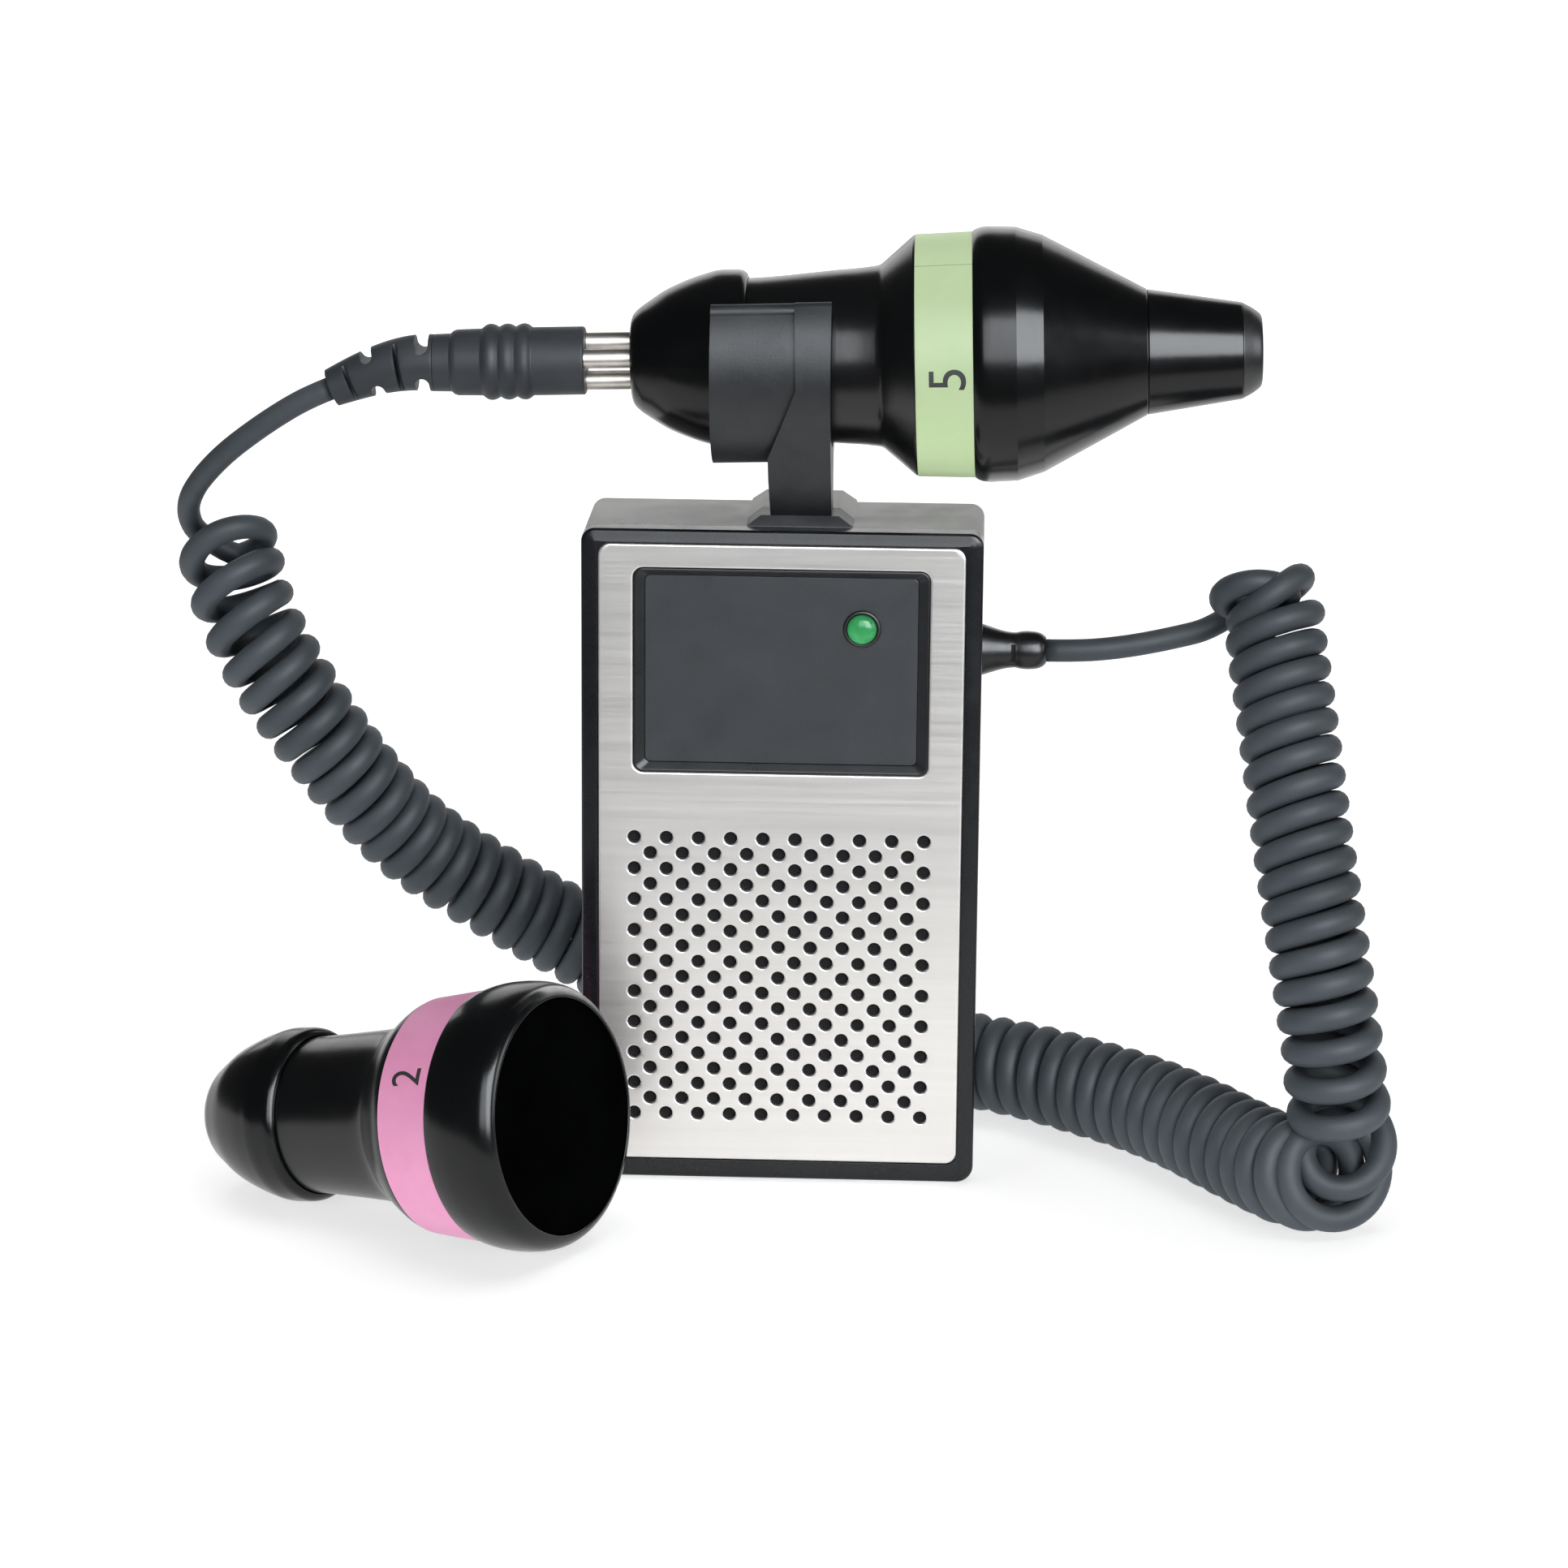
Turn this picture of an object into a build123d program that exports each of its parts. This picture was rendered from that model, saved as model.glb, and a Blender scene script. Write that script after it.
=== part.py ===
from build123d import *
import os
import math

# Pocket vascular doppler: a hand-size case with a round-hole grille and a bare
# label panel, a cradle clip on top that holds a pencil-tip probe, a three-pin
# plug drawn part way out of the probe, a curly lead from the plug down behind
# the case and round to the gland on its right side, and a second, broad-faced
# probe lying in front on the left.
# Millimetres.  Origin: middle of the case's bottom face.  +X right, +Y away
# from the front face, +Z up.

# ---------------------------------------------------------------- dimensions
CASE_W = 82.5            # width of the case
CASE_H = 139.7           # height of the case
CASE_D = 34.0            # depth of the case
BEZEL_T = 5.5            # depth of the black front half
R_TOP = 2.8              # corner radius at the top of the front view
R_BOT = 3.6              # corner radius at the bottom
WALL = 2.2               # side walls
BACK_T = 3.0             # back wall

PLATE_HW = 37.78         # face plate half width
PLATE_Z0 = 4.2
PLATE_Z1 = 136.8
PLATE_T = 1.0
PLATE_R = 2.5

HOLE_D = 2.7             # grille hole
HOLE_P = 6.684           # grille pitch, both ways, every other row set over
HOLE_X = -0.17
HOLE_Z = 74.55           # top row
HOLE_ROWS = 19

WIN_X0, WIN_X1 = -30.45, 30.45     # label window in the plate
WIN_Z0, WIN_Z1 = 88.6, 131.7
WIN_R = 2.0
PANEL_X0, PANEL_X1 = -28.1, 28.1   # bare label panel, sunk
PANEL_Z0, PANEL_Z1 = 90.6, 130.1
PANEL_Y = -16.0

LED_X, LED_Z = 16.55, 119.35
LED_R = 3.0

SPK_Z = 44.5             # speaker centre height
SPK_R = 28.5

RIDGE_X = 3.4            # dovetail ridge on top, centre
RIDGE_BASE = 22.0
RIDGE_TOP = 16.0
RIDGE_H = 2.0
FOOT_Y1 = -2.9           # clip foot reaches back to here

TILT = 1.741             # the clipped probe points up to the right by this
AX_Y = -7.5              # probe axis, in front of the case's middle
AX_Z = 174.07            # its height over the case's middle

CLIP_RI = 18.45
CLIP_RO = 21.3
CLIP_STRAP = 22.3
CLIP_X0, CLIP_X1 = -14.4, 9.9      # the clip's upright ends
STEM_X0 = -2.88          # left side of strap and stem
STEM_Y1 = -1.25          # back of the stem
WEB_ANG = 36.64          # the strap leaves the ring this far below the front and runs down straight
LIP = 0.55               # the rolled jaw ends stand this proud
CLIP_JAW = 36.8          # the front jaw ends this far above the axis, degrees
BACK_JAW = 31.0          # the back jaw ends lower

COLLAR_R = 18.07
PIN_R = 2.0
PIN_CIRCLE = 4.5
PIN_ANG = (-44.0, 76.0, 196.0)     # from straight up, towards the front
PIN_GAP = 9.5            # how far the plug stands off the probe
PIN_IN = 6.0             # and how deep its pins still reach
SOCKET_R = 2.05          # bore of a probe's contact tubes
CONTACT_RO = 2.35        # outside of those tubes

LEAD_D = 4.8             # straight lead
COIL_D = 21.3            # outside of the curly lead

GLAND_Y, GLAND_Z = 3.0, 111.1

# the spare probe lies with its head rim and its collar on the table
SP_YAW = 27.86           # its face is turned this far towards the front
SP_TILT = 9.613          # so that rim and collar both touch the table
SP_FACE = (-41.1, -62.94)

HERE = "parts"
os.makedirs(HERE, exist_ok=True)
OUT = {}


def keep(name, shape):
    """Keep a finished piece as a flat compound of its solids."""
    sol = list(shape.solids()) if hasattr(shape, "solids") else [shape]
    sol = [s for s in sol if s.volume > 1e-6]
    OUT[name] = sol


def slab(sk, y0, y1):
    """Extrude an X-Z sketch from depth y0 to depth y1 (y0 nearer the front)."""
    pl = Plane(origin=(0, y1, 0), x_dir=(1, 0, 0), z_dir=(0, -1, 0))
    return extrude(pl * sk, amount=(y1 - y0))


def rrect(x0, x1, z0, z1, r):
    w, h = x1 - x0, z1 - z0
    s = RectangleRounded(w, h, r) if r > 0 else Rectangle(w, h)
    return Pos((x0 + x1) / 2, (z0 + z1) / 2, 0) * s


def case_outline(inset=0.0):
    s = Pos(0, CASE_H / 2, 0) * Rectangle(CASE_W - 2 * inset, CASE_H - 2 * inset)
    vs = s.vertices()
    top = [v for v in vs if v.Y > CASE_H / 2]
    bot = [v for v in vs if v.Y < CASE_H / 2]
    s = fillet(top, max(0.6, R_TOP - inset))
    vs = [v for v in s.vertices() if v.Y < CASE_H * 0.3]
    s = fillet(vs, max(0.6, R_BOT - inset))
    return s


def box(x0, x1, y0, y1, z0, z1):
    return Pos((x0 + x1) / 2, (y0 + y1) / 2, (z0 + z1) / 2) * Box(x1 - x0, y1 - y0, z1 - z0)


def cyl_y(x, z, r, y0, y1):
    return Pos(x, (y0 + y1) / 2, z) * Rot(90, 0, 0) * Cylinder(r, y1 - y0)


def cyl_x(y, z, r, x0, x1):
    return Pos((x0 + x1) / 2, y, z) * Rot(0, 90, 0) * Cylinder(r, x1 - x0)


def turn(segs, start):
    """Solid of revolution about X.  segs is a list of steps from start, each
    ('l', (x, r)) for a straight edge or ('s', [(x, r), ...]) for a smooth
    curve through points."""
    edges = []
    p = start
    for kind, q in segs:
        if kind == "l":
            edges.append(Line((p[0], p[1], 0), (q[0], q[1], 0)))
            p = q
        else:
            pts = [(p[0], p[1], 0)] + [(a, b, 0) for a, b in q]
            edges.append(Spline(*pts))
            p = q[-1]
    if abs(p[0] - start[0]) + abs(p[1] - start[1]) > 1e-9:
        edges.append(Line((p[0], p[1], 0), (start[0], start[1], 0)))
    f = make_face(edges)
    return revolve(f, axis=Axis.X, revolution_arc=360)


# ------------------------------------------------------------------ the case
outline = case_outline()
YF = -CASE_D / 2
YB = CASE_D / 2
YJ = YF + BEZEL_T            # joint between the two halves
Y_FLOOR = YF + PLATE_T       # the plate's back
Y_IN = YF + 2.6              # inside of the front half's floor

bezel = slab(outline, YF, YJ)
front_edges = [e for e in bezel.edges() if abs(e.center().Y - YF) < 1e-6]
bezel = fillet(front_edges, 0.9)
bezel -= slab(rrect(-PLATE_HW - 0.05, PLATE_HW + 0.05, PLATE_Z0 - 0.05, PLATE_Z1 + 0.05, PLATE_R), YF - 1, Y_FLOOR)
bezel -= slab(rrect(-CASE_W / 2 + 2.4, CASE_W / 2 - 2.4, 2.4, CASE_H - 2.4, 2.0), Y_IN, YJ + 1)
bezel -= slab(rrect(WIN_X0, WIN_X1, WIN_Z0, WIN_Z1, WIN_R), YF - 1, Y_IN + 1)
bezel -= slab(rrect(-32.2, 32.2, 12.3, 76.7, 2.0), Y_FLOOR - 0.1, Y_FLOOR + 0.6)
bezel -= cyl_y(0, SPK_Z, 27.0, YF, Y_IN + 1)
SCREWS = [(-35.0, 7.2), (35.0, 7.2), (-35.0, 132.4), (35.0, 132.4)]
for sx, sz in SCREWS:
    bezel += cyl_y(sx, sz, 3.1, Y_IN - 0.1, -8.5)
for sx, sz in SCREWS:
    bezel -= cyl_y(sx, sz, 1.25, -14.6, -8.0)
keep("front_bezel", bezel)

shell = slab(outline, YJ, YB)
back_edges = [e for e in shell.edges() if abs(e.center().Y - YB) < 1e-6]
shell = fillet(back_edges, 2.6)
shell -= slab(rrect(-CASE_W / 2 + WALL, CASE_W / 2 - WALL, WALL, CASE_H - WALL, 1.6), YJ - 1, YB - BACK_T)
# dovetail ridge along the top
ridge_poly = Polyline((RIDGE_X - RIDGE_BASE / 2, CASE_H - 0.4), (RIDGE_X + RIDGE_BASE / 2, CASE_H - 0.4),
                      (RIDGE_X + RIDGE_BASE / 2, CASE_H), (RIDGE_X + RIDGE_TOP / 2, CASE_H + RIDGE_H),
                      (RIDGE_X - RIDGE_TOP / 2, CASE_H + RIDGE_H), (RIDGE_X - RIDGE_BASE / 2, CASE_H), close=True)
ridge = slab(make_face(ridge_poly), FOOT_Y1, YB - 0.3)
shell += ridge
# battery bay, open to the back, and the rebate that the door fills
shell += box(-15.5, 15.5, -5.2, YB - BACK_T, 71.8, 128.7)
shell -= box(-14.3, 14.3, -4.0, YB + 1, 73.0, 127.5)
DOOR_X, DOOR_Z0, DOOR_Z1 = 17.0, 70.15, 129.6
DOOR_Y0 = 15.3
HINGE_Y, HINGE_Z = 16.15, 71.0
shell -= box(-DOOR_X - 0.25, DOOR_X + 0.25, DOOR_Y0 - 0.1, YB + 1, DOOR_Z0 - 0.25, DOOR_Z1 + 0.25)
shell -= cyl_x(HINGE_Y, HINGE_Z, 0.60, -DOOR_X - 1.3, -DOOR_X)
shell -= cyl_x(HINGE_Y, HINGE_Z, 0.60, DOOR_X, DOOR_X + 1.3)
# screw posts
for sx, sz in SCREWS:
    shell += cyl_y(sx, sz, 3.3, -8.5, YB - BACK_T + 0.1)
for sx, sz in SCREWS:
    shell -= cyl_y(sx, sz, 1.45, -9.0, YB + 1)
    shell -= cyl_y(sx, sz, 2.7, 13.6, YB + 1)
# slot and thumb scoop for the volume wheel, left side
WHEEL_R, WHEEL_T = 8.0, 4.0
WHEEL_X, WHEEL_Y, WHEEL_Z = -CASE_W / 2 - 1.3 + WHEEL_R, 5.0, 106.0
shell -= box(-CASE_W / 2 - 1, -CASE_W / 2 + WALL + 0.5, WHEEL_Y - 7.4, WHEEL_Y + 7.4, WHEEL_Z - 2.6, WHEEL_Z + 2.6)
# hole for the gland's neck, right side
shell -= cyl_x(GLAND_Y, GLAND_Z, 4.2, CASE_W / 2 - WALL - 1, CASE_W / 2 + 1)
keep("rear_shell", shell)

# ---------------------------------------------------------------- face plate
plate = slab(rrect(-PLATE_HW, PLATE_HW, PLATE_Z0, PLATE_Z1, PLATE_R), YF, Y_FLOOR)
plate -= slab(rrect(WIN_X0, WIN_X1, WIN_Z0, WIN_Z1, WIN_R), YF - 1, Y_FLOOR + 1)
drill = []
for row in range(HOLE_ROWS):
    z = HOLE_Z - row * HOLE_P / 2
    cols = range(-9, 10, 2) if row % 2 == 0 else range(-8, 9, 2)
    for j in cols:
        drill.append(cyl_y(HOLE_X + j * HOLE_P / 2, z, HOLE_D / 2, YF - 0.5, Y_FLOOR + 0.5))
plate = plate.cut(*drill)
keep("face_plate", plate)

cloth = slab(rrect(-32.0, 32.0, 12.5, 76.5, 2.0), Y_FLOOR, Y_FLOOR + 0.5)
keep("grille_cloth", cloth)

# sunk tray that frames the bare label panel
tray = slab(rrect(WIN_X0 + 0.05, WIN_X1 - 0.05, WIN_Z0 + 0.05, WIN_Z1 - 0.05, WIN_R), YF, Y_IN)
mouth_o = Plane(origin=(0, YF - 0.001, 0), x_dir=(1, 0, 0), z_dir=(0, -1, 0)) * rrect(WIN_X0 + 0.5, WIN_X1 - 0.5, WIN_Z0 + 0.5, WIN_Z1 - 0.5, WIN_R - 0.3)
mouth_i = Plane(origin=(0, PANEL_Y, 0), x_dir=(1, 0, 0), z_dir=(0, -1, 0)) * rrect(PANEL_X0, PANEL_X1, PANEL_Z0, PANEL_Z1, 1.0)
tray -= loft([mouth_o.faces()[0], mouth_i.faces()[0]])
tray -= slab(rrect(PANEL_X0, PANEL_X1, PANEL_Z0, PANEL_Z1, 1.0), PANEL_Y - 0.01, PANEL_Y + 0.6)
tray -= cyl_y(LED_X, LED_Z, LED_R + 0.05, YF - 1, Y_IN + 1)
keep("label_tray", tray)

panel = slab(rrect(PANEL_X0 + 0.03, PANEL_X1 - 0.03, PANEL_Z0 + 0.03, PANEL_Z1 - 0.03, 1.0), PANEL_Y, PANEL_Y + 0.6)
panel -= cyl_y(LED_X, LED_Z, LED_R + 0.9, YF - 1, Y_IN + 1)
keep("label_panel", panel)

# power lamp: a holder ring sunk in the panel and a domed lens
holder = cyl_y(LED_X, LED_Z, LED_R + 0.88, PANEL_Y - 0.35, PANEL_Y + 0.6) - cyl_y(LED_X, LED_Z, LED_R + 0.03, YF - 1, Y_IN)
keep("lamp_holder", holder)
lens = turn([("l", (-0.6, LED_R)), ("l", (2.2, LED_R)), ("s", [(3.0, 2.62), (3.55, 1.6), (3.75, 0.0)])], (-0.6, 0.0))
lens = Pos(LED_X, Y_IN - 0.0, LED_Z) * Rot(0, 0, -90) * lens
keep("lamp_lens", lens)
led_chip = cyl_y(LED_X, LED_Z, 2.6, Y_IN + 0.6, -9.2)
keep("lamp_body", led_chip)

# ------------------------------------------------------------------- speaker
# basket: flange against the front half's floor, cone wall, closed back
bs = turn([("l", (-14.4, SPK_R)), ("l", (-12.6, SPK_R)), ("l", (-12.6, 26.9)), ("l", (-3.6, 15.0)), ("l", (-3.6, 0.0)),
           ("l", (-4.8, 0.0)), ("l", (-4.8, 14.2)), ("l", (-13.2, 25.6)), ("l", (-14.4, 25.6))], (-14.4, 25.6))


def along_y(shape, x, z):
    """Turn a solid made about X so that its X runs along +Y at (x, z)."""
    return Pos(x, 0, z) * Rot(0, 0, 90) * shape


keep("speaker_frame", along_y(bs, 0, SPK_Z))
cone = turn([("s", [(-13.9, 24.4), (-13.4, 23.2)]), ("l", (-9.4, 9.0)), ("s", [(-11.3, 5.0), (-12.0, 0.0)]), ("l", (-11.6, 0.0)),
             ("s", [(-10.9, 5.0), (-8.9, 8.8)]), ("l", (-13.0, 23.3)), ("s", [(-13.4, 24.4), (-13.2, 25.5)])], (-13.6, 25.5))
keep("speaker_cone", along_y(cone, 0, SPK_Z))
mag = turn([("l", (-3.6, 13.0)), ("l", (3.6, 13.0)), ("l", (3.6, 0.0))], (-3.6, 0.0))
keep("speaker_magnet", along_y(mag, 0, SPK_Z))

# ------------------------------------------------------- electronics, battery
board = box(-34, 34, -9.2, -7.6, 79.5, 127.5)
keep("circuit_board", board)
chips = [box(-28, -18, -11.0, -9.2, 100, 110), box(-10, 0, -11.2, -9.2, 92, 100), box(22, 30, -11.0, -9.2, 98, 110),
         box(-30, -24, -12.2, -9.2, 86, 96), box(20, 24, -12.4, -9.2, 84, 95), cyl_y(8, 88, 3.0, -13.0, -9.2)]
OUT["board_parts"] = [c.solids()[0] if hasattr(c, "solids") else c for c in chips]
bat = box(-13.2, 13.2, -3.6, 13.6, 74.0, 120.4)
bat = fillet([e for e in bat.edges() if abs(e.center().Z - 97.2) < 1e-3], 1.8)
bat += Pos(-6.4, 5, 121.4) * Cylinder(3.0, 2.0)
bat += Pos(6.4, 5, 121.4) * Cylinder(2.4, 2.0)
keep("battery", bat)
snap = box(-12.6, 12.6, -1.2, 11.2, 120.4, 124.6)
snap -= Pos(-6.4, 5, 121.4) * Cylinder(3.0, 2.0)
snap -= Pos(6.4, 5, 121.4) * Cylinder(2.4, 2.0)
keep("battery_snap", snap)

# ------------------------------------------------------------- battery door
door = box(-DOOR_X, DOOR_X, DOOR_Y0, YB, HINGE_Z, DOOR_Z1)
door += cyl_x(HINGE_Y, HINGE_Z, 0.85, -DOOR_X, DOOR_X)
door += cyl_x(HINGE_Y, HINGE_Z, 0.55, -DOOR_X - 1.1, DOOR_X + 1.1)
for i in range(4):
    door -= box(-6.5, 6.5, YB - 0.5, YB + 1, 118.0 + i * 2.2, 119.1 + i * 2.2)
keep("battery_door", door)

# ------------------------------------------------------------- volume wheel
wheel = Pos(WHEEL_X, WHEEL_Y, WHEEL_Z) * Cylinder(WHEEL_R, WHEEL_T)
wheel = chamfer([e for e in wheel.edges() if e.length > 2 * math.pi * WHEEL_R - 1], 0.4)
knurl = []
for i in range(30):
    a = math.radians(12 * i)
    knurl.append(Pos(WHEEL_X + (WHEEL_R + 0.25) * math.cos(a), WHEEL_Y + (WHEEL_R + 0.25) * math.sin(a), WHEEL_Z) * Cylinder(0.55, WHEEL_T + 1))
wheel = wheel.cut(*knurl)
wheel -= Pos(WHEEL_X, WHEEL_Y, WHEEL_Z) * Cylinder(1.5, WHEEL_T + 1)
keep("volume_wheel", wheel)
pot = box(WHEEL_X - 4.2, WHEEL_X + 5, -7.6, 10, 94.0, 102.6)
pot += Pos(WHEEL_X, WHEEL_Y, 105.8) * Cylinder(1.44, 6.6)
keep("volume_control", pot)

# -------------------------------------------------------------- case screws
scr = []
for sx, sz in SCREWS:
    s = cyl_y(sx, sz, 1.25, -14.0, 13.7) + cyl_y(sx, sz, 2.4, 13.6, 15.4)
    s -= box(sx - 1.5, sx + 1.5, 14.7, 16, sz - 0.3, sz + 0.3)
    s -= box(sx - 0.3, sx + 0.3, 14.7, 16, sz - 1.5, sz + 1.5)
    scr += s.solids()
OUT["case_screws"] = scr

# -------------------------------------------------------------- cable gland
gl = turn([("l", (37.3, 6.0)), ("l", (39.05, 6.0)), ("l", (39.05, 4.2)), ("l", (41.25, 4.2)), ("l", (41.25, 5.35)),
           ("s", [(43.2, 4.75), (45.5, 4.05), (47.4, 3.72)]), ("l", (48.3, 3.68)), ("s", [(49.4, 3.92), (51.5, 3.98), (53.4, 3.62), (54.6, 2.7)]),
           ("l", (54.6, 0.0))], (37.3, 0.0))
gl = Pos(0, GLAND_Y, GLAND_Z) * gl
gl -= box(47.3, 48.2, GLAND_Y - 5, GLAND_Y - 2.9, GLAND_Z - 1.9, GLAND_Z + 1.9)
gl -= box(47.3, 48.2, GLAND_Y + 2.9, GLAND_Y + 5, GLAND_Z - 1.9, GLAND_Z + 1.9)
keep("cable_gland", gl)

# --------------------------------------------------------------- probe clip
PROBE = Pos(0, AX_Y, AX_Z) * Rot(0, -TILT, 0)      # probe's own X runs along its axis


def ring_x(ri, ro, x0, x1):
    return Pos((x0 + x1) / 2, 0, 0) * Rot(0, 90, 0) * (Cylinder(ro, x1 - x0) - Cylinder(ri, x1 - x0 + 1))


def across(sk, x0, x1):
    """Extrude a Y-Z sketch along X."""
    return extrude(Plane(origin=(x0, 0, 0), x_dir=(0, 1, 0), z_dir=(1, 0, 0)) * sk, amount=x1 - x0)


a, ab = math.radians(CLIP_JAW), math.radians(BACK_JAW)
mouth = across(make_face(Polyline((0, 0), (60 * math.cos(ab), 60 * math.sin(ab)), (0, 80), (-60 * math.cos(a), 60 * math.sin(a)), close=True)), -30, 30)


def jaw_lips(r_out, x0, x1):
    """Rolled ends of both jaws, for a ring of this outside radius."""
    half = (r_out + LIP - CLIP_RI - 0.1) / 2
    mid = CLIP_RI + 0.1 + half
    out = []
    for side, ang in ((1, ab), (-1, a)):
        out.append(cyl_x(side * mid * math.cos(ang), mid * math.sin(ang), half, x0, x1))
    return out


# the raised strap is narrow over the jaw and widens down to the stem; its
# front face leaves the ring along a tangent plane and runs down to the foot
wa = math.radians(WEB_ANG)
wy, wz = -CLIP_STRAP * math.cos(wa), -CLIP_STRAP * math.sin(wa)
down = 24.0
web = across(make_face(Polyline((wy, wz), (wy + down * math.sin(wa), wz - down * math.cos(wa)), (STEM_Y1 - AX_Y, wz - down * math.cos(wa)),
                                (STEM_Y1 - AX_Y, -16.0), (-14.0, -11.0), close=True)), -3.6, 16)
strap = ring_x(CLIP_RI, CLIP_STRAP, -3.6, 16) - mouth
for lip in jaw_lips(CLIP_RO + 0.2, -3.6, 16):
    strap += lip
strap += web
tri = make_face(Polyline((-6, 40), (2.9, 40), (2.9, -3), (-3.43, -18.3), (-6, -18.3), close=True))
strap -= slab(tri, -40, 40)
STEM_Z0 = CASE_H + RIDGE_H
strap = (PROBE * strap) & box(STEM_X0, CLIP_X1, -60, 60, STEM_Z0, 230)
cradle = ring_x(CLIP_RI, CLIP_RO, -20, 16) - mouth
for lip in jaw_lips(CLIP_RO, -20, 16):
    cradle += lip
cradle = (PROBE * cradle) & box(CLIP_X0, CLIP_X1, -60, 60, STEM_Z0, 230)
foot = slab(make_face(Polyline((RIDGE_X - RIDGE_BASE / 2, CASE_H), (RIDGE_X + RIDGE_BASE / 2, CASE_H),
                               (RIDGE_X + RIDGE_TOP / 2, CASE_H + RIDGE_H + 0.3), (RIDGE_X - RIDGE_TOP / 2, CASE_H + RIDGE_H + 0.3), close=True)),
            -11.45, FOOT_Y1)
clip = cradle + strap
clip -= PROBE * (Rot(0, 90, 0) * Cylinder(CLIP_RI, 80))
clip += foot
keep("probe_clip", clip)
print("clip solids", len(clip.solids()), "valid", [s.is_valid for s in clip.solids()])

# --------------------------------------------- pencil-tip probe, in the clip


def pin_yz(ang, r=PIN_CIRCLE):
    t = math.radians(ang)
    return (-r * math.sin(t), r * math.cos(t))


def handle_tail():
    """Rear cap: a dome that ends in the collar, with a hole for the sockets."""
    return turn([("l", (-31.3, 8.2)), ("s", [(-30.7, 9.5), (-29.3, 10.8)]),
                 ("s", [(-27.8, 11.8), (-24.5, 13.95), (-21.2, 15.45), (-17.9, 16.6), (-14.6, 17.5), (-12.0, 18.0), (-10.6, COLLAR_R)]),
                 ("l", (-9.6, COLLAR_R)), ("l", (-9.3, 17.8)), ("l", (-9.3, 15.0)), ("l", (-13.6, 15.0)), ("l", (-24.5, 11.0)), ("l", (-24.5, 7.0))],
                (-31.3, 7.0))


def socket_block():
    b = Pos(-22.9, 0, 0) * Rot(0, 90, 0) * Cylinder(6.99, 16.8)
    for an in PIN_ANG:
        y, z = pin_yz(an)
        b -= Pos(-22.9, y, z) * Rot(0, 90, 0) * Cylinder(CONTACT_RO, 20)
    return b


def contacts():
    out = []
    for an in PIN_ANG:
        y, z = pin_yz(an)
        c = Pos(-22.4, y, z) * Rot(0, 90, 0) * Cylinder(CONTACT_RO, 17.8)
        c -= Pos(-23.0, y, z) * Rot(0, 90, 0) * Cylinder(SOCKET_R, 17.0)
        out.append(c)
    return out


barrel = turn([("l", (-13.4, 14.95)), ("l", (-9.3, 14.95)), ("l", (-9.3, 16.25)),
               ("s", [(-4.6, 16.36), (2.0, 16.85), (10.4, 17.6), (15.3, 17.95), (18.6, 18.4), (20.6, 19.1)]),
               ("s", [(22.0, 20.3), (23.8, 22.0), (25.6, 23.7), (26.6, 24.45)]), ("l", (26.9, 24.5)), ("l", (26.9, 24.25)), ("l", (38.5, 24.65)), ("l", (38.5, 21.5)),
               ("l", (28.0, 21.5)), ("l", (19.5, 15.4)), ("l", (-9.5, 13.4)), ("l", (-13.4, 13.4))], (-13.4, 13.4))
ring5 = turn([("l", (26.9, 24.62)), ("l", (38.5, 25.02)), ("l", (38.5, 24.66)), ("l", (26.9, 24.26))], (26.9, 24.26))
head5 = turn([("l", (33.5, 21.45)), ("l", (38.5, 21.45)), ("l", (38.5, 25.05)), ("s", [(39.4, 25.6), (40.6, 25.9), (41.9, 25.98)]), ("l", (45.6, 25.98)),
              ("s", [(47.5, 25.7), (49.6, 25.2), (51.6, 24.6)]), ("l", (73.8, 12.75)), ("l", (73.8, 10.6)), ("l", (50.8, 22.2)), ("l", (42.0, 23.2)),
              ("l", (40.0, 19.6))], (33.5, 19.6))
nozzle = turn([("l", (73.8, 12.75)), ("l", (74.8, 12.6)), ("l", (92.9, 9.85)), ("l", (92.9, 8.2)), ("l", (74.8, 10.4))], (73.8, 10.6))
tip = turn([("l", (91.4, 8.0)), ("l", (92.92, 8.0)), ("l", (92.92, 9.8)), ("s", [(93.9, 9.3), (95.0, 8.7), (96.2, 7.85)]), ("s", [(96.75, 7.3), (97.0, 6.6)]), ("l", (97.05, 0.0))], (91.4, 0.0))
crystal = turn([("l", (90.6, 6.4)), ("l", (91.4, 6.4)), ("l", (91.4, 0.0))], (90.6, 0.0))
backing = turn([("l", (79.0, 7.4)), ("l", (90.6, 6.4)), ("l", (90.6, 0.0))], (79.0, 0.0))
pboard = box(-6.0, 76.0, -0.8, 0.8, -8.5, 8.5)

for nm, sh in (("probe_tail_cap", handle_tail()), ("probe_socket_block", socket_block()), ("probe_barrel", barrel),
               ("probe_band", ring5), ("probe_head_shell", head5), ("probe_nozzle", nozzle), ("probe_tip", tip),
               ("probe_crystal", crystal), ("probe_backing", backing), ("probe_board", pboard)):
    keep(nm, PROBE * sh)
OUT["probe_contacts"] = [(PROBE * c).solids()[0] for c in contacts()]

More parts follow.
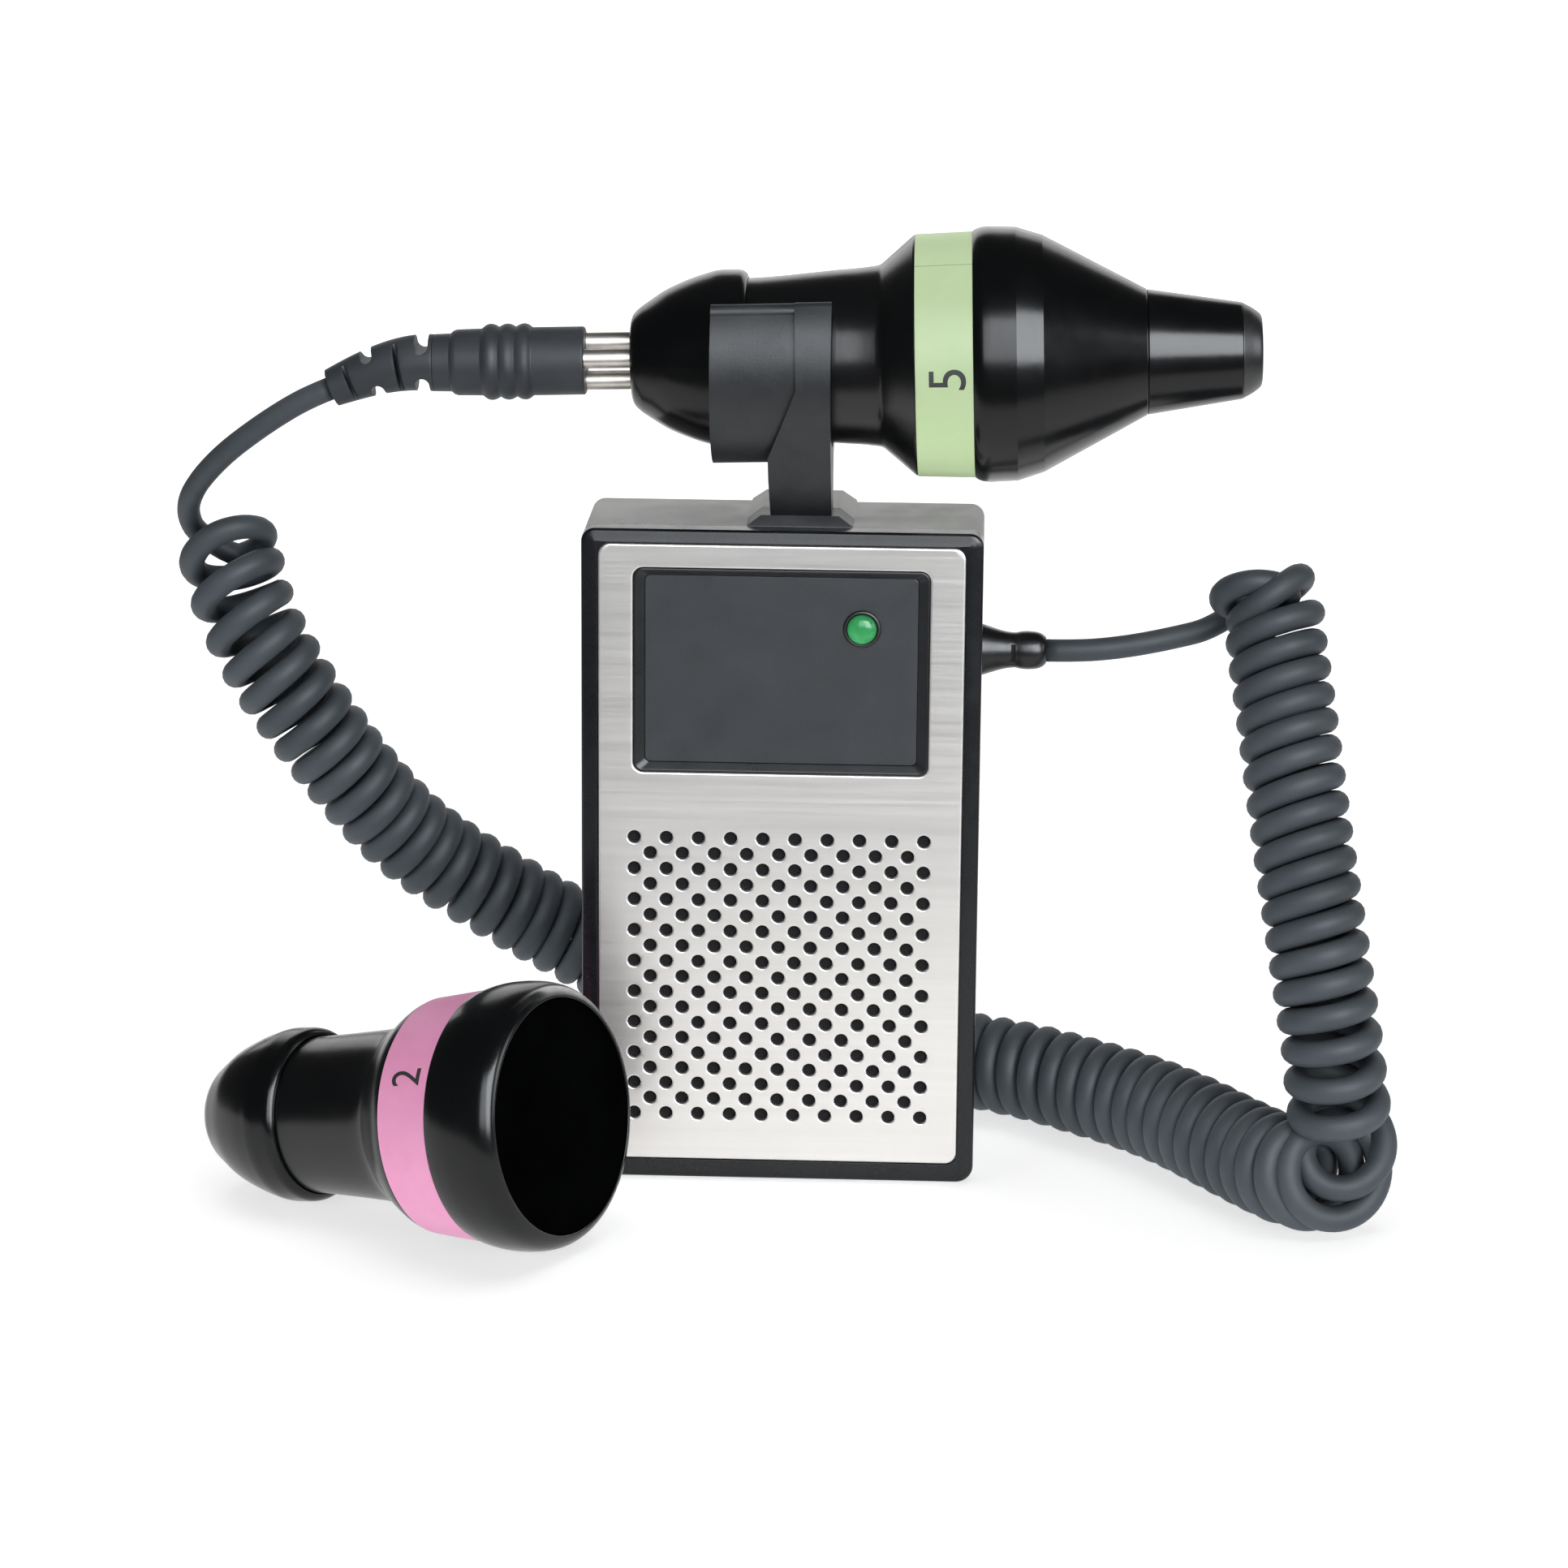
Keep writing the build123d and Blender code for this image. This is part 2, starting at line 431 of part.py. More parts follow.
# ----------------------------------------------------------------- the plug
XF = -31.3 - PIN_GAP         # plug's front face
plug = turn([("l", (XF, 6.6)), ("l", (XF - 0.35, 6.97)), ("l", (-51.6, 6.97)),
             ("s", [(-52.4, 7.6), (-53.3, 7.8), (-54.2, 7.6), (-55.0, 7.15)]),
             ("s", [(-55.8, 7.6), (-56.7, 7.8), (-57.6, 7.6), (-58.4, 7.15)]),
             ("s", [(-59.2, 7.6), (-60.1, 7.8), (-61.0, 7.6), (-61.8, 7.0)]),
             ("l", (-62.0, 6.85)), ("l", (-67.0, 6.75)), ("s", [(-67.8, 6.5), (-68.4, 5.95)]), ("l", (-72.0, 5.85)), ("l", (-72.0, 0.0))], (XF, 0.0))
for an in PIN_ANG:
    y, z = pin_yz(an)
    plug -= Pos(XF - 1.0, y, z) * Rot(0, 90, 0) * Cylinder(PIN_R, 6.0)
keep("plug_body", PROBE * plug)
pins = []
for an in PIN_ANG:
    y, z = pin_yz(an)
    x1 = -31.3 + PIN_IN
    p = Pos((XF - 4.0 + x1) / 2, y, z) * Rot(0, 90, 0) * Cylinder(PIN_R, x1 - XF + 4.0)
    e = [e for e in p.edges() if e.geom_type == GeomType.CIRCLE and e.center().X > x1 - 0.01]
    p = fillet(e, 1.2)
    pins.append((PROBE * p).solids()[0])
OUT["plug_pins"] = pins

# strain relief: a tapering tail with staggered slots that droops to the left
SR_END = (-93.0, -7.5, 166.4)
LEAD_OUT = (-97.6, -7.5, 164.5)        # the lead's first point past its end
a0 = (PROBE * Pos(-72.0, 0, 0)).position
sr_pts = [(a0.X, a0.Y, a0.Z), (-78.5, -7.5, 171.45), (-86.5, -7.5, 169.1), SR_END]
sr_end_dir = Vector(*LEAD_OUT) - Vector(*SR_END)
sr_path = Spline(*sr_pts, tangents=[(-math.cos(math.radians(TILT)), 0, -math.sin(math.radians(TILT))), tuple(sr_end_dir.normalized())])


def sr_ring(t, r):
    pl = Plane(origin=sr_path @ t, z_dir=sr_path % t)
    return (pl * Circle(r)).faces()[0]


relief = loft([sr_ring(0.0, 5.85), sr_ring(0.33, 5.45), sr_ring(0.66, 4.75), sr_ring(1.0, 3.95)])


def sr_slot(t, w, turn_deg):
    """A pair of round-bottomed slots across the tail at t, a web between."""
    pl = Plane(origin=sr_path @ t, x_dir=(0, 1, 0), z_dir=sr_path % t)
    out = []
    for side in (1, -1):
        b = Pos(0, side * (2.5 + w / 2 + 3), 0) * Box(16, 6, w)
        c = Pos(0, side * (2.5 + w / 2), 0) * Rot(0, 90, 0) * Cylinder(w / 2, 16)
        out.append(pl * (Rot(0, 0, turn_deg) * (b + c)))
    return out


for t, w, d in ((0.10, 2.9, 0), (0.32, 1.1, 90), (0.58, 2.6, 0), (0.80, 1.0, 90)):
    for b in sr_slot(t, w, d):
        relief -= b
keep("plug_strain_relief", relief)

# ------------------------------------------------------------ spare probe
sp = Pos(SP_FACE[0], SP_FACE[1], 0) * Rot(0, 0, -SP_YAW)
TH = math.radians(SP_TILT)
RIM_R = 27.35
LOW_S, LOW_R = 12.01, 27.03      # the ring of the head that touches the table
z_face = LOW_R * math.cos(TH) + LOW_S * math.sin(TH) + 0.015
# along the spare probe's own X, its face is at 0 and the rest is behind it
SPARE = Pos(SP_FACE[0], SP_FACE[1], z_face) * Rot(0, 0, -SP_YAW) * Rot(0, -SP_TILT, 0)
HS = -53.2               # shift from the clipped probe's handle to this one
shift = Pos(HS, 0, 0)
b2 = turn([("l", (-13.4, 14.95)), ("l", (-9.3, 14.95)), ("l", (-9.3, 16.25)),
           ("s", [(-4.6, 16.36), (2.0, 16.85), (10.4, 17.6), (14.6, 18.2), (16.6, 19.0)]),
           ("s", [(18.2, 20.2), (20.4, 21.9), (22.6, 23.35), (24.0, 23.98)]), ("l", (24.4, 24.02)), ("l", (24.4, 23.78)), ("l", (36.9, 25.4)), ("l", (36.9, 22.0)),
           ("l", (26.0, 21.2)), ("l", (16.0, 15.4)), ("l", (-9.5, 13.4)), ("l", (-13.4, 13.4))], (-13.4, 13.4))
band2 = turn([("l", (24.4, 24.17)), ("l", (36.9, 25.8)), ("l", (36.9, 25.43)), ("l", (24.4, 23.81))], (24.4, 23.81))
head2 = turn([("l", (31.9, 21.45)), ("l", (36.9, 21.95)), ("l", (36.9, 25.85)), ("s", [(39.0, 26.55), (42.0, 27.15), (45.2, RIM_R)]),
              ("s", [(48.4, 27.2), (50.8, 26.6), (52.4, 25.5), (53.0, 24.4)]), ("l", (53.0, 23.95)), ("l", (50.4, 23.9)), ("l", (50.4, 22.6)),
              ("l", (37.0, 19.6))], (31.9, 19.6))
face2 = turn([("l", (50.4, 23.85)), ("l", (52.6, 23.88)), ("l", (52.6, 0.0))], (50.4, 0.0))
back2 = turn([("l", (44.0, 20.0)), ("l", (49.2, 21.4)), ("l", (49.2, 0.0))], (44.0, 0.0))
half = []
for side in (1, -1):
    c = Pos(49.8, 0, 0) * Rot(0, 90, 0) * Cylinder(20.5, 1.2)
    c &= box(49, 51, 0.8 if side > 0 else -30, 30 if side > 0 else -0.8, -30, 30)
    half.append(c)
sboard = box(-6.0, 43.5, -0.8, 0.8, -8.5, 8.5)
for nm, sh in (("spare_tail_cap", handle_tail()), ("spare_socket_block", socket_block()), ("spare_barrel", b2),
               ("spare_band", band2), ("spare_head_shell", head2), ("spare_face", face2), ("spare_backing", back2), ("spare_board", sboard)):
    keep(nm, SPARE * (shift * sh))
OUT["spare_contacts"] = [(SPARE * (shift * c)).solids()[0] for c in contacts()]
OUT["spare_crystals"] = [(SPARE * (shift * c)).solids()[0] for c in half]

# ---------------------------------------------------------------- the cord
# Each tube follows straight runs joined by arcs.  The curly stretch is two fat
# tubes of its outside diameter that meet in the tight fold on the table.
LEAD_CASE = [(54.6, 3.0, 111.1), (60.6, 3.0, 111.1), (67.5, 3.2, 111.6), (75.0, 3.8, 112.7), (82.5, 5.2, 114.1), (88.5, 7.0, 115.3), (95.0, 5.6, 117.4)]
COIL_RIGHT = [(99.2, 2.2, 130.6), (100.6, 0.2, 123.4), (102.0, -3.2, 115.4), (103.6, -7.8, 106.1), (105.5, -14.2, 93.1), (107.4, -20.2, 80.0),
              (109.4, -25.4, 67.7), (111.4, -29.8, 56.0), (113.0, -33.2, 46.1), (114.5, -35.4, 37.4), (116.1, -37.8, 24.3), (118.0, -38.6, 14.6)]
COIL_FLOOR = [(114.6, -43.6, 10.9), (109.3, -40.6, 10.9), (105.0, -36.6, 10.9), (99.5, -28.2, 10.9), (92.6, -17.0, 10.9), (84.6, -3.9, 10.9),
              (75.0, 7.6, 10.9), (64.0, 17.5, 10.9), (53.0, 26.9, 10.9), (40.5, 34.0, 11.0), (25.0, 38.2, 11.5), (8.0, 39.4, 13.4),
              (-9.0, 38.2, 18.0), (-26.0, 35.8, 25.4), (-48.4, 33.6, 38.5), (-56.7, 31.2, 43.8), (-65.4, 28.0, 50.1), (-74.2, 24.2, 56.7),
              (-82.0, 19.8, 64.1), (-88.8, 15.3, 73.0), (-94.9, 11.1, 82.3), (-100.5, 7.6, 91.6), (-105.5, 5.0, 100.5), (-109.7, 3.6, 108.5),
              (-112.6, 3.4, 115.6), (-114.8, 4.2, 122.8), (-116.4, 5.6, 129.1), (-117.6, 7.2, 133.6)]
LEAD_PLUG = [SR_END, LEAD_OUT, (-103.0, -7.1, 161.4), (-109.4, -6.3, 157.0), (-116.6, -4.2, 151.4), (-122.6, -0.6, 145.0),
             (-126.0, 3.6, 139.4), (-126.2, 7.6, 134.6), (-123.4, 10.4, 130.4)]


def cord_tube(pts, dia, name):
    p = [Vector(*q) for q in pts]
    rad = []
    for i in range(1, len(p) - 1):
        a, b = p[i] - p[i - 1], p[i + 1] - p[i]
        t = math.radians(a.get_angle(b))
        rad.append(0.45 * min(a.length, b.length) / math.tan(t / 2))
    path = FilletPolyline(*pts, radius=rad)
    prof = Plane(origin=p[0], z_dir=(p[1] - p[0])) * Circle(dia / 2)
    tube = sweep(prof, path=path)
    sol = tube.solids()[0]
    want = math.pi * dia * dia / 4 * path.length
    print(name, "length %.1f" % path.length, "volume/section*length %.4f" % (sol.volume / want),
          "radii in diameters", [round(r / dia, 1) for r in rad], "valid", sol.is_valid, "zmin %.2f" % sol.bounding_box().min.Z)
    OUT[name] = [sol]


cord_tube(LEAD_CASE, LEAD_D, "cord_lead_case")
cord_tube(COIL_RIGHT, COIL_D, "cord_coil_right")
cord_tube(COIL_FLOOR, COIL_D, "cord_coil_floor")
cord_tube(LEAD_PLUG, LEAD_D, "cord_lead_plug")

for name, sols in OUT.items():
    shape = sols[0] if len(sols) == 1 else Compound(children=[Solid(s.wrapped) for s in sols])
    export_step(shape, os.path.join(HERE, name + ".step"))
print(len(OUT), "nodes")
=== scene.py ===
import bpy
import bmesh
import math
import numpy as np
from mathutils import Vector, Matrix
from mathutils.geometry import delaunay_2d_cdt


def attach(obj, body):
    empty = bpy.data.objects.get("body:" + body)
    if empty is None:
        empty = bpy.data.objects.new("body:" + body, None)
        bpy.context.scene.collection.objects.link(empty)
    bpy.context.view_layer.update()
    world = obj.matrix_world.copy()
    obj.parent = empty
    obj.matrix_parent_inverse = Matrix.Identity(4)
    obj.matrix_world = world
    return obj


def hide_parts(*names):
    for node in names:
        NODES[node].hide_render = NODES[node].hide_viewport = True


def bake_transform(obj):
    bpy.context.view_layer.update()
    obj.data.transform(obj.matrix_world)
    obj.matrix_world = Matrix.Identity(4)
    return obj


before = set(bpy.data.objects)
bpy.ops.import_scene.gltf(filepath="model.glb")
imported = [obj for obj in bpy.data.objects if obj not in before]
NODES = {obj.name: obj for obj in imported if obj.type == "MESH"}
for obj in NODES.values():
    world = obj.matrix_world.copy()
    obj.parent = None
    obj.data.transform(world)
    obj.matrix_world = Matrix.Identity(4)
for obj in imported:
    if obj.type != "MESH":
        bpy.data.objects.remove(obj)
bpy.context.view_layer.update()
MM = 0.001
SCENE = bpy.context.scene

# ------------------------------------------------------------------ camera
yaw, pitch, roll = math.radians(2.3101), math.radians(14.8525), math.radians(0.4551)
c_fwd = Vector((-math.sin(yaw) * math.cos(pitch), math.cos(yaw) * math.cos(pitch), -math.sin(pitch)))
c_right = Vector((math.cos(yaw), math.sin(yaw), 0.0))
c_up = c_right.cross(c_fwd)
c_x = math.cos(roll) * c_right + math.sin(roll) * c_up
c_y = -math.sin(roll) * c_right + math.cos(roll) * c_up
cam_data = bpy.data.cameras.new("camera")
cam = bpy.data.objects.new("camera", cam_data)
SCENE.collection.objects.link(cam)
cam.matrix_world = Matrix(((c_x.x, c_y.x, -c_fwd.x, 0.041224), (c_x.y, c_y.y, -c_fwd.y, -1.018723),
                           (c_x.z, c_y.z, -c_fwd.z, 0.352360), (0, 0, 0, 1)))
cam_data.sensor_width = 36.0
cam_data.lens = 115.15
cam_data.clip_start = 0.02
cam_data.clip_end = 60.0
SCENE.camera = cam
SCENE.view_settings.view_transform = "Standard"

# ---------------------------------------------------------------- the lead
# The route's points, as the part has them, in metres.
LEAD_CASE = [(0.0546, 0.003, 0.1111), (0.0606, 0.003, 0.1111), (0.0675, 0.0032, 0.1116), (0.075, 0.0038, 0.1127),
             (0.0825, 0.0052, 0.1141), (0.0885, 0.007, 0.1153), (0.095, 0.0056, 0.1174)]
COIL_RIGHT = [(0.0992, 0.0022, 0.1306), (0.1006, 0.0002, 0.1234), (0.102, -0.0032, 0.1154), (0.1036, -0.0078, 0.1061),
              (0.1055, -0.0142, 0.0931), (0.1074, -0.0202, 0.08), (0.1094, -0.0254, 0.0677), (0.1114, -0.0298, 0.056),
              (0.113, -0.0332, 0.0461), (0.1145, -0.0354, 0.0374), (0.1161, -0.0378, 0.0243), (0.118, -0.0386, 0.0146)]
COIL_FLOOR = [(0.1146, -0.0436, 0.0109), (0.1093, -0.0406, 0.0109), (0.105, -0.0366, 0.0109), (0.0995, -0.0282, 0.0109),
              (0.0926, -0.017, 0.0109), (0.0846, -0.0039, 0.0109), (0.075, 0.0076, 0.0109), (0.064, 0.0175, 0.0109),
              (0.053, 0.0269, 0.0109), (0.0405, 0.034, 0.011), (0.025, 0.0382, 0.0115), (0.008, 0.0394, 0.0134),
              (-0.009, 0.0382, 0.018), (-0.026, 0.0358, 0.0254), (-0.0484, 0.0336, 0.0385), (-0.0567, 0.0312, 0.0438),
              (-0.0654, 0.028, 0.0501), (-0.0742, 0.0242, 0.0567), (-0.082, 0.0198, 0.0641), (-0.0888, 0.0153, 0.073),
              (-0.0949, 0.0111, 0.0823), (-0.1005, 0.0076, 0.0916), (-0.1055, 0.005, 0.1005), (-0.1097, 0.0036, 0.1085),
              (-0.1126, 0.0034, 0.1156), (-0.1148, 0.0042, 0.1228), (-0.1164, 0.0056, 0.1291), (-0.1176, 0.0072, 0.1336)]
LEAD_PLUG = [(-0.093, -0.0075, 0.1664), (-0.0976, -0.0075, 0.1645), (-0.103, -0.0071, 0.1614), (-0.1094, -0.0063, 0.157),
             (-0.1164, -0.0042, 0.1514), (-0.1222, -0.0006, 0.145), (-0.1252, 0.0036, 0.1396), (-0.1256, 0.0076, 0.1350),
             (-0.1236, 0.0104, 0.1308)]

# The curly stretch's own middle line: the route's points, with a curl added at its
# top right end and a looser fold where it doubles back on the table.
AXIS = ([(0.0967, 0.0025, 0.1240), (0.0986, 0.0015, 0.1246), (0.1009, 0.0008, 0.1241), (0.1018, -0.0006, 0.1208)]
        + COIL_RIGHT[2:10] + [(0.1153, -0.0368, 0.0306)] + COIL_RIGHT[10:]
        + [(0.1146, -0.0416, 0.0112), (0.1093, -0.0406, 0.0112)] + COIL_FLOOR[2:-6]
        + [(-0.1059, 0.0050, 0.1008), (-0.1104, 0.0036, 0.1094), (-0.1136, 0.0034, 0.1172), (-0.1159, 0.0042, 0.1249), (-0.1176, 0.0056, 0.1316),
           (-0.1187, 0.0072, 0.1363)])
# How each turn leans: distance along that line in mm, the turn's own axis, its
# radius in mm.  Between rows the values change evenly.
RINGS = [(0, -0.06, -0.50, -0.86, 8.05), (2.1, 0.161, -0.50, -0.85, 7.95), (4.7, 0.56, -0.32, -0.76, 7.95),
         (7.9, 0.328, -0.363, -0.872, 7.95), (11.9, 0.212, -0.413, -0.886, 7.95), (23.1, 0.229, -0.356, -0.906, 7.95),
         (38.7, 0.229, -0.356, -0.906, 7.95), (53.2, 0.228, -0.337, -0.913, 7.95), (66.7, 0.227, -0.289, -0.93, 7.95),
         (79.3, 0.157, -0.247, -0.956, 7.95), (90, 0.102, -0.183, -0.978, 7.95), (98.7, 0.026, -0.036, -0.999, 8),
         (105.5, -0.013, 0.108, -0.994, 8.1), (112.2, -0.064, 0.226, -0.972, 8.35), (120.8, -0.168, 0.805, -0.569, 8.75),
         (127.4, -0.406, 0.842, -0.356, 9.35), (133.8, -0.523, 0.837, -0.16, 8.85), (145.8, -0.598, 0.801, -0.011, 8.45),
         (155.7, -0.661, 0.75, 0.038, 8.35), (166.5, -0.693, 0.717, 0.076, 8.35), (177.4, -0.742, 0.668, 0.055, 8.25),
         (187.2, -0.782, 0.622, 0.043, 8.2), (196.5, -0.818, 0.574, 0.024, 8.15), (205.3, -0.846, 0.532, 0.027, 8.1),
         (214.1, -0.854, 0.52, 0.021, 8.05), (225.9, -0.878, 0.479, -0.012, 7.95), (245, -0.97, 0.238, 0.042, 7.8),
         (264.1, -0.988, 0.033, 0.151, 7.8), (283.2, -0.946, -0.09, 0.311, 7.8), (302.3, -0.89, -0.109, 0.444, 7.8),
         (321.4, -0.858, -0.096, 0.505, 7.8), (340.5, -0.847, -0.092, 0.523, 7.65), (355.8, -0.802, -0.137, 0.582, 7.65),
         (363.4, -0.757, -0.152, 0.636, 7.65), (371.3, -0.698, -0.164, 0.698, 7.65), (379.1, -0.648, -0.149, 0.747, 7.65),
         (387, -0.607, -0.16, 0.778, 7.65), (394.9, -0.583, -0.099, 0.806, 7.65), (402.7, -0.568, -0.032, 0.823, 7.7),
         (410.3, -0.547, 0.003, 0.837, 7.8), (417.8, -0.554, 0.023, 0.832, 7.95), (424.3, -0.552, 0.055, 0.835, 8.05),
         (430.6, -0.520, 0.110, 0.840, 8.05), (437.4, -0.475, 0.220, 0.840, 8.1), (445.3, -0.390, 0.330, 0.855, 8.25),
         (451.9, -0.290, 0.560, 0.785, 8.3), (455.8, -0.250, 0.640, 0.740, 8.3)]
# Where each turn crosses the front, in mm along the line.
TURNS = [1.1, 5.2, 11.6, 17.2, 22.8, 28.5, 34, 39.8, 45.8, 51.6, 57.3, 62.9, 68.5, 74.2, 80.2, 85.9, 91.8, 98.1, 104.9,
         111.6, 120.8, 127.9, 133.6, 139.3, 145.1, 151, 157.3, 163.6, 169.8, 175.9, 181.8, 187.1, 192.8, 198.6, 204.4, 209.8,
         215.9, 221.8, 227.4, 233, 238.6, 244.2, 249.8, 255.4, 261, 266.6, 272.2, 277.8, 283.4, 289, 294.6, 300.2, 305.8,
         311.4, 317, 322.6, 328.2, 333.8, 339, 344.2, 350.2, 356.2, 362.5, 368.2, 373.8, 379.8, 385.7, 391.8, 398, 403.9,
         410.4, 417, 423.7, 430.4, 437.6, 445.5, 453.0]
WIRE_R, COIL_WIRE_R = 2.4, 2.75
PER_TURN = 16


def spline_points(points, resolution):
    """Points along a smooth open NURBS spline of order 3 with these control points."""
    cu = bpy.data.curves.new("line", "CURVE")
    cu.dimensions = "3D"
    cu.resolution_u = resolution
    sp = cu.splines.new("NURBS")
    sp.points.add(len(points) - 1)
    flat = []
    for p in points:
        flat += [p[0], p[1], p[2], 1.0]
    sp.points.foreach_set("co", flat)
    sp.order_u = 3
    sp.use_endpoint_u = True
    ob = bpy.data.objects.new("line", cu)
    SCENE.collection.objects.link(ob)
    bpy.context.view_layer.update()
    me = bpy.data.meshes.new_from_object(ob.evaluated_get(bpy.context.evaluated_depsgraph_get()))
    co = np.zeros(len(me.vertices) * 3)
    me.vertices.foreach_get("co", co)
    bpy.data.objects.remove(ob)
    bpy.data.curves.remove(cu)
    bpy.data.meshes.remove(me)
    return co.reshape(-1, 3)


def unit(v):
    return v / np.linalg.norm(v, axis=-1, keepdims=True)


axis_pts = spline_points(AXIS, 24) * 1000.0
axis_s = np.r_[0.0, np.cumsum(np.linalg.norm(np.diff(axis_pts, axis=0), axis=1))]
rings = np.array(RINGS)
turns = np.array(TURNS)
number = np.arange(len(turns))
phase = np.arange(-0.5, len(turns) - 1 + 0.56, 1.0 / PER_TURN)
along = np.interp(phase, number, turns)
along = np.where(phase < 0, turns[0] + phase * (turns[1] - turns[0]), along)
along = np.where(phase > number[-1], turns[-1] + (phase - number[-1]) * (turns[-1] - turns[-2]) * 0.55, along)
along = np.clip(along, 0.0, axis_s[-1])
mid = np.stack([np.interp(along, axis_s, axis_pts[:, k]) for k in range(3)], -1)
ring_n = unit(np.stack([np.interp(along, rings[:, 0], rings[:, k]) for k in (1, 2, 3)], -1))
ring_r = np.interp(along, rings[:, 0], rings[:, 4])
front = unit(np.array([0.04, -0.96, 0.275]))
ring_a = unit(front - (ring_n @ front)[:, None] * ring_n)
ring_b = np.cross(ring_n, ring_a)
low = ring_r * np.sqrt(1.0 - ring_n[:, 2] ** 2) + COIL_WIRE_R + 0.26
mid[:, 2] = np.maximum(mid[:, 2], low)
helix = mid + (ring_r / 0.9925)[:, None] * (np.cos(2 * np.pi * phase)[:, None] * ring_a + np.sin(2 * np.pi * phase)[:, None] * ring_b)
helix = [tuple(p) for p in helix * MM]

lead_in = LEAD_CASE[:6]
lead_out = [(-0.1242, 0.0102, 0.1316)] + LEAD_PLUG[::-1][1:]
controls = lead_in + helix + lead_out
RES = 4
wire = spline_points(controls, RES)


def tube(name, line, radius, sides=16):
    """A closed tube round a line, its rings turned as little as possible."""
    p = np.asarray(line, float)
    t = np.empty_like(p)
    t[1:-1] = p[2:] - p[:-2]
    t[0] = p[1] - p[0]
    t[-1] = p[-1] - p[-2]
    t = unit(t)
    n = np.zeros_like(p)
    v = np.cross(t[0], (0.0, 0.0, 1.0))
    v = v / np.linalg.norm(v)
    for i in range(len(p)):
        v = v - t[i] * float(v @ t[i])
        v = v / np.linalg.norm(v)
        n[i] = v
    b = np.cross(t, n)
    ang = np.arange(sides) * 2 * math.pi / sides
    rad = np.asarray(radius, float).reshape(-1, 1, 1)
    ring = p[:, None, :] + rad * (np.cos(ang)[None, :, None] * n[:, None, :] + np.sin(ang)[None, :, None] * b[:, None, :])
    verts = ring.reshape(-1, 3)
    m = len(p)
    i0 = (np.arange(m - 1)[:, None] * sides + np.arange(sides)[None, :]).ravel()
    i1 = (np.arange(m - 1)[:, None] * sides + (np.arange(sides)[None, :] + 1) % sides).ravel()
    quads = np.stack([i0, i1, i1 + sides, i0 + sides], -1).tolist()
    quads.append(list(range(sides))[::-1])
    quads.append(list(range((m - 1) * sides, m * sides)))
    me = bpy.data.meshes.new(name)
    me.from_pydata(verts.tolist(), [], quads)
    me.validate()
    me.polygons.foreach_set("use_smooth", [True] * len(me.polygons))
    me.update()
    ob = bpy.data.objects.new(name, me)
    SCENE.collection.objects.link(ob)
    return ob


at = np.arange(len(wire)) / RES
thick0 = np.clip((at - 5.0) / 14.0, 0, 1)
thick1 = np.clip((len(controls) - 2 - 8.0 - at) / 14.0, 0, 1)
thick = np.minimum(thick0, thick1)
thick = thick * thick * (3 - 2 * thick)
cord = tube("curly_lead", wire, (WIRE_R + (COIL_WIRE_R - WIRE_R) * thick) * MM)
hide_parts("cord_lead_case", "cord_coil_right", "cord_coil_floor", "cord_lead_plug")


# ----------------------------------------------------------- mesh helpers
def finish_mesh(ob, sharp=38.0, weighted=True):
    me = ob.data
    me.polygons.foreach_set("use_smooth", [True] * len(me.polygons))
    me.set_sharp_from_angle(angle=math.radians(sharp))
    if weighted:
        m = ob.modifiers.new("normals", "WEIGHTED_NORMAL")
        m.mode = "FACE_AREA"
        m.weight = 50
        m.keep_sharp = True
    return ob


def from_bmesh(name, bm, sharp=38.0, weighted=True):
    bmesh.ops.recalc_face_normals(bm, faces=bm.faces)
    me = bpy.data.meshes.new(name)
    bm.to_mesh(me)
    bm.free()
    ob = bpy.data.objects.new(name, me)
    SCENE.collection.objects.link(ob)
    return finish_mesh(ob, sharp, weighted)


def bend_points(a, b, c, d, k):
    """Points between b and c of the smooth curve through a, b, c, d."""
    out = []
    for i in range(1, k + 1):
        t = i / k
        out.append(tuple(0.5 * ((2 * b[j]) + (-a[j] + c[j]) * t + (2 * a[j] - 5 * b[j] + 4 * c[j] - d[j]) * t * t
                                + (-a[j] + 3 * b[j] - 3 * c[j] + d[j]) * t * t * t) for j in (0, 1)))
    return out


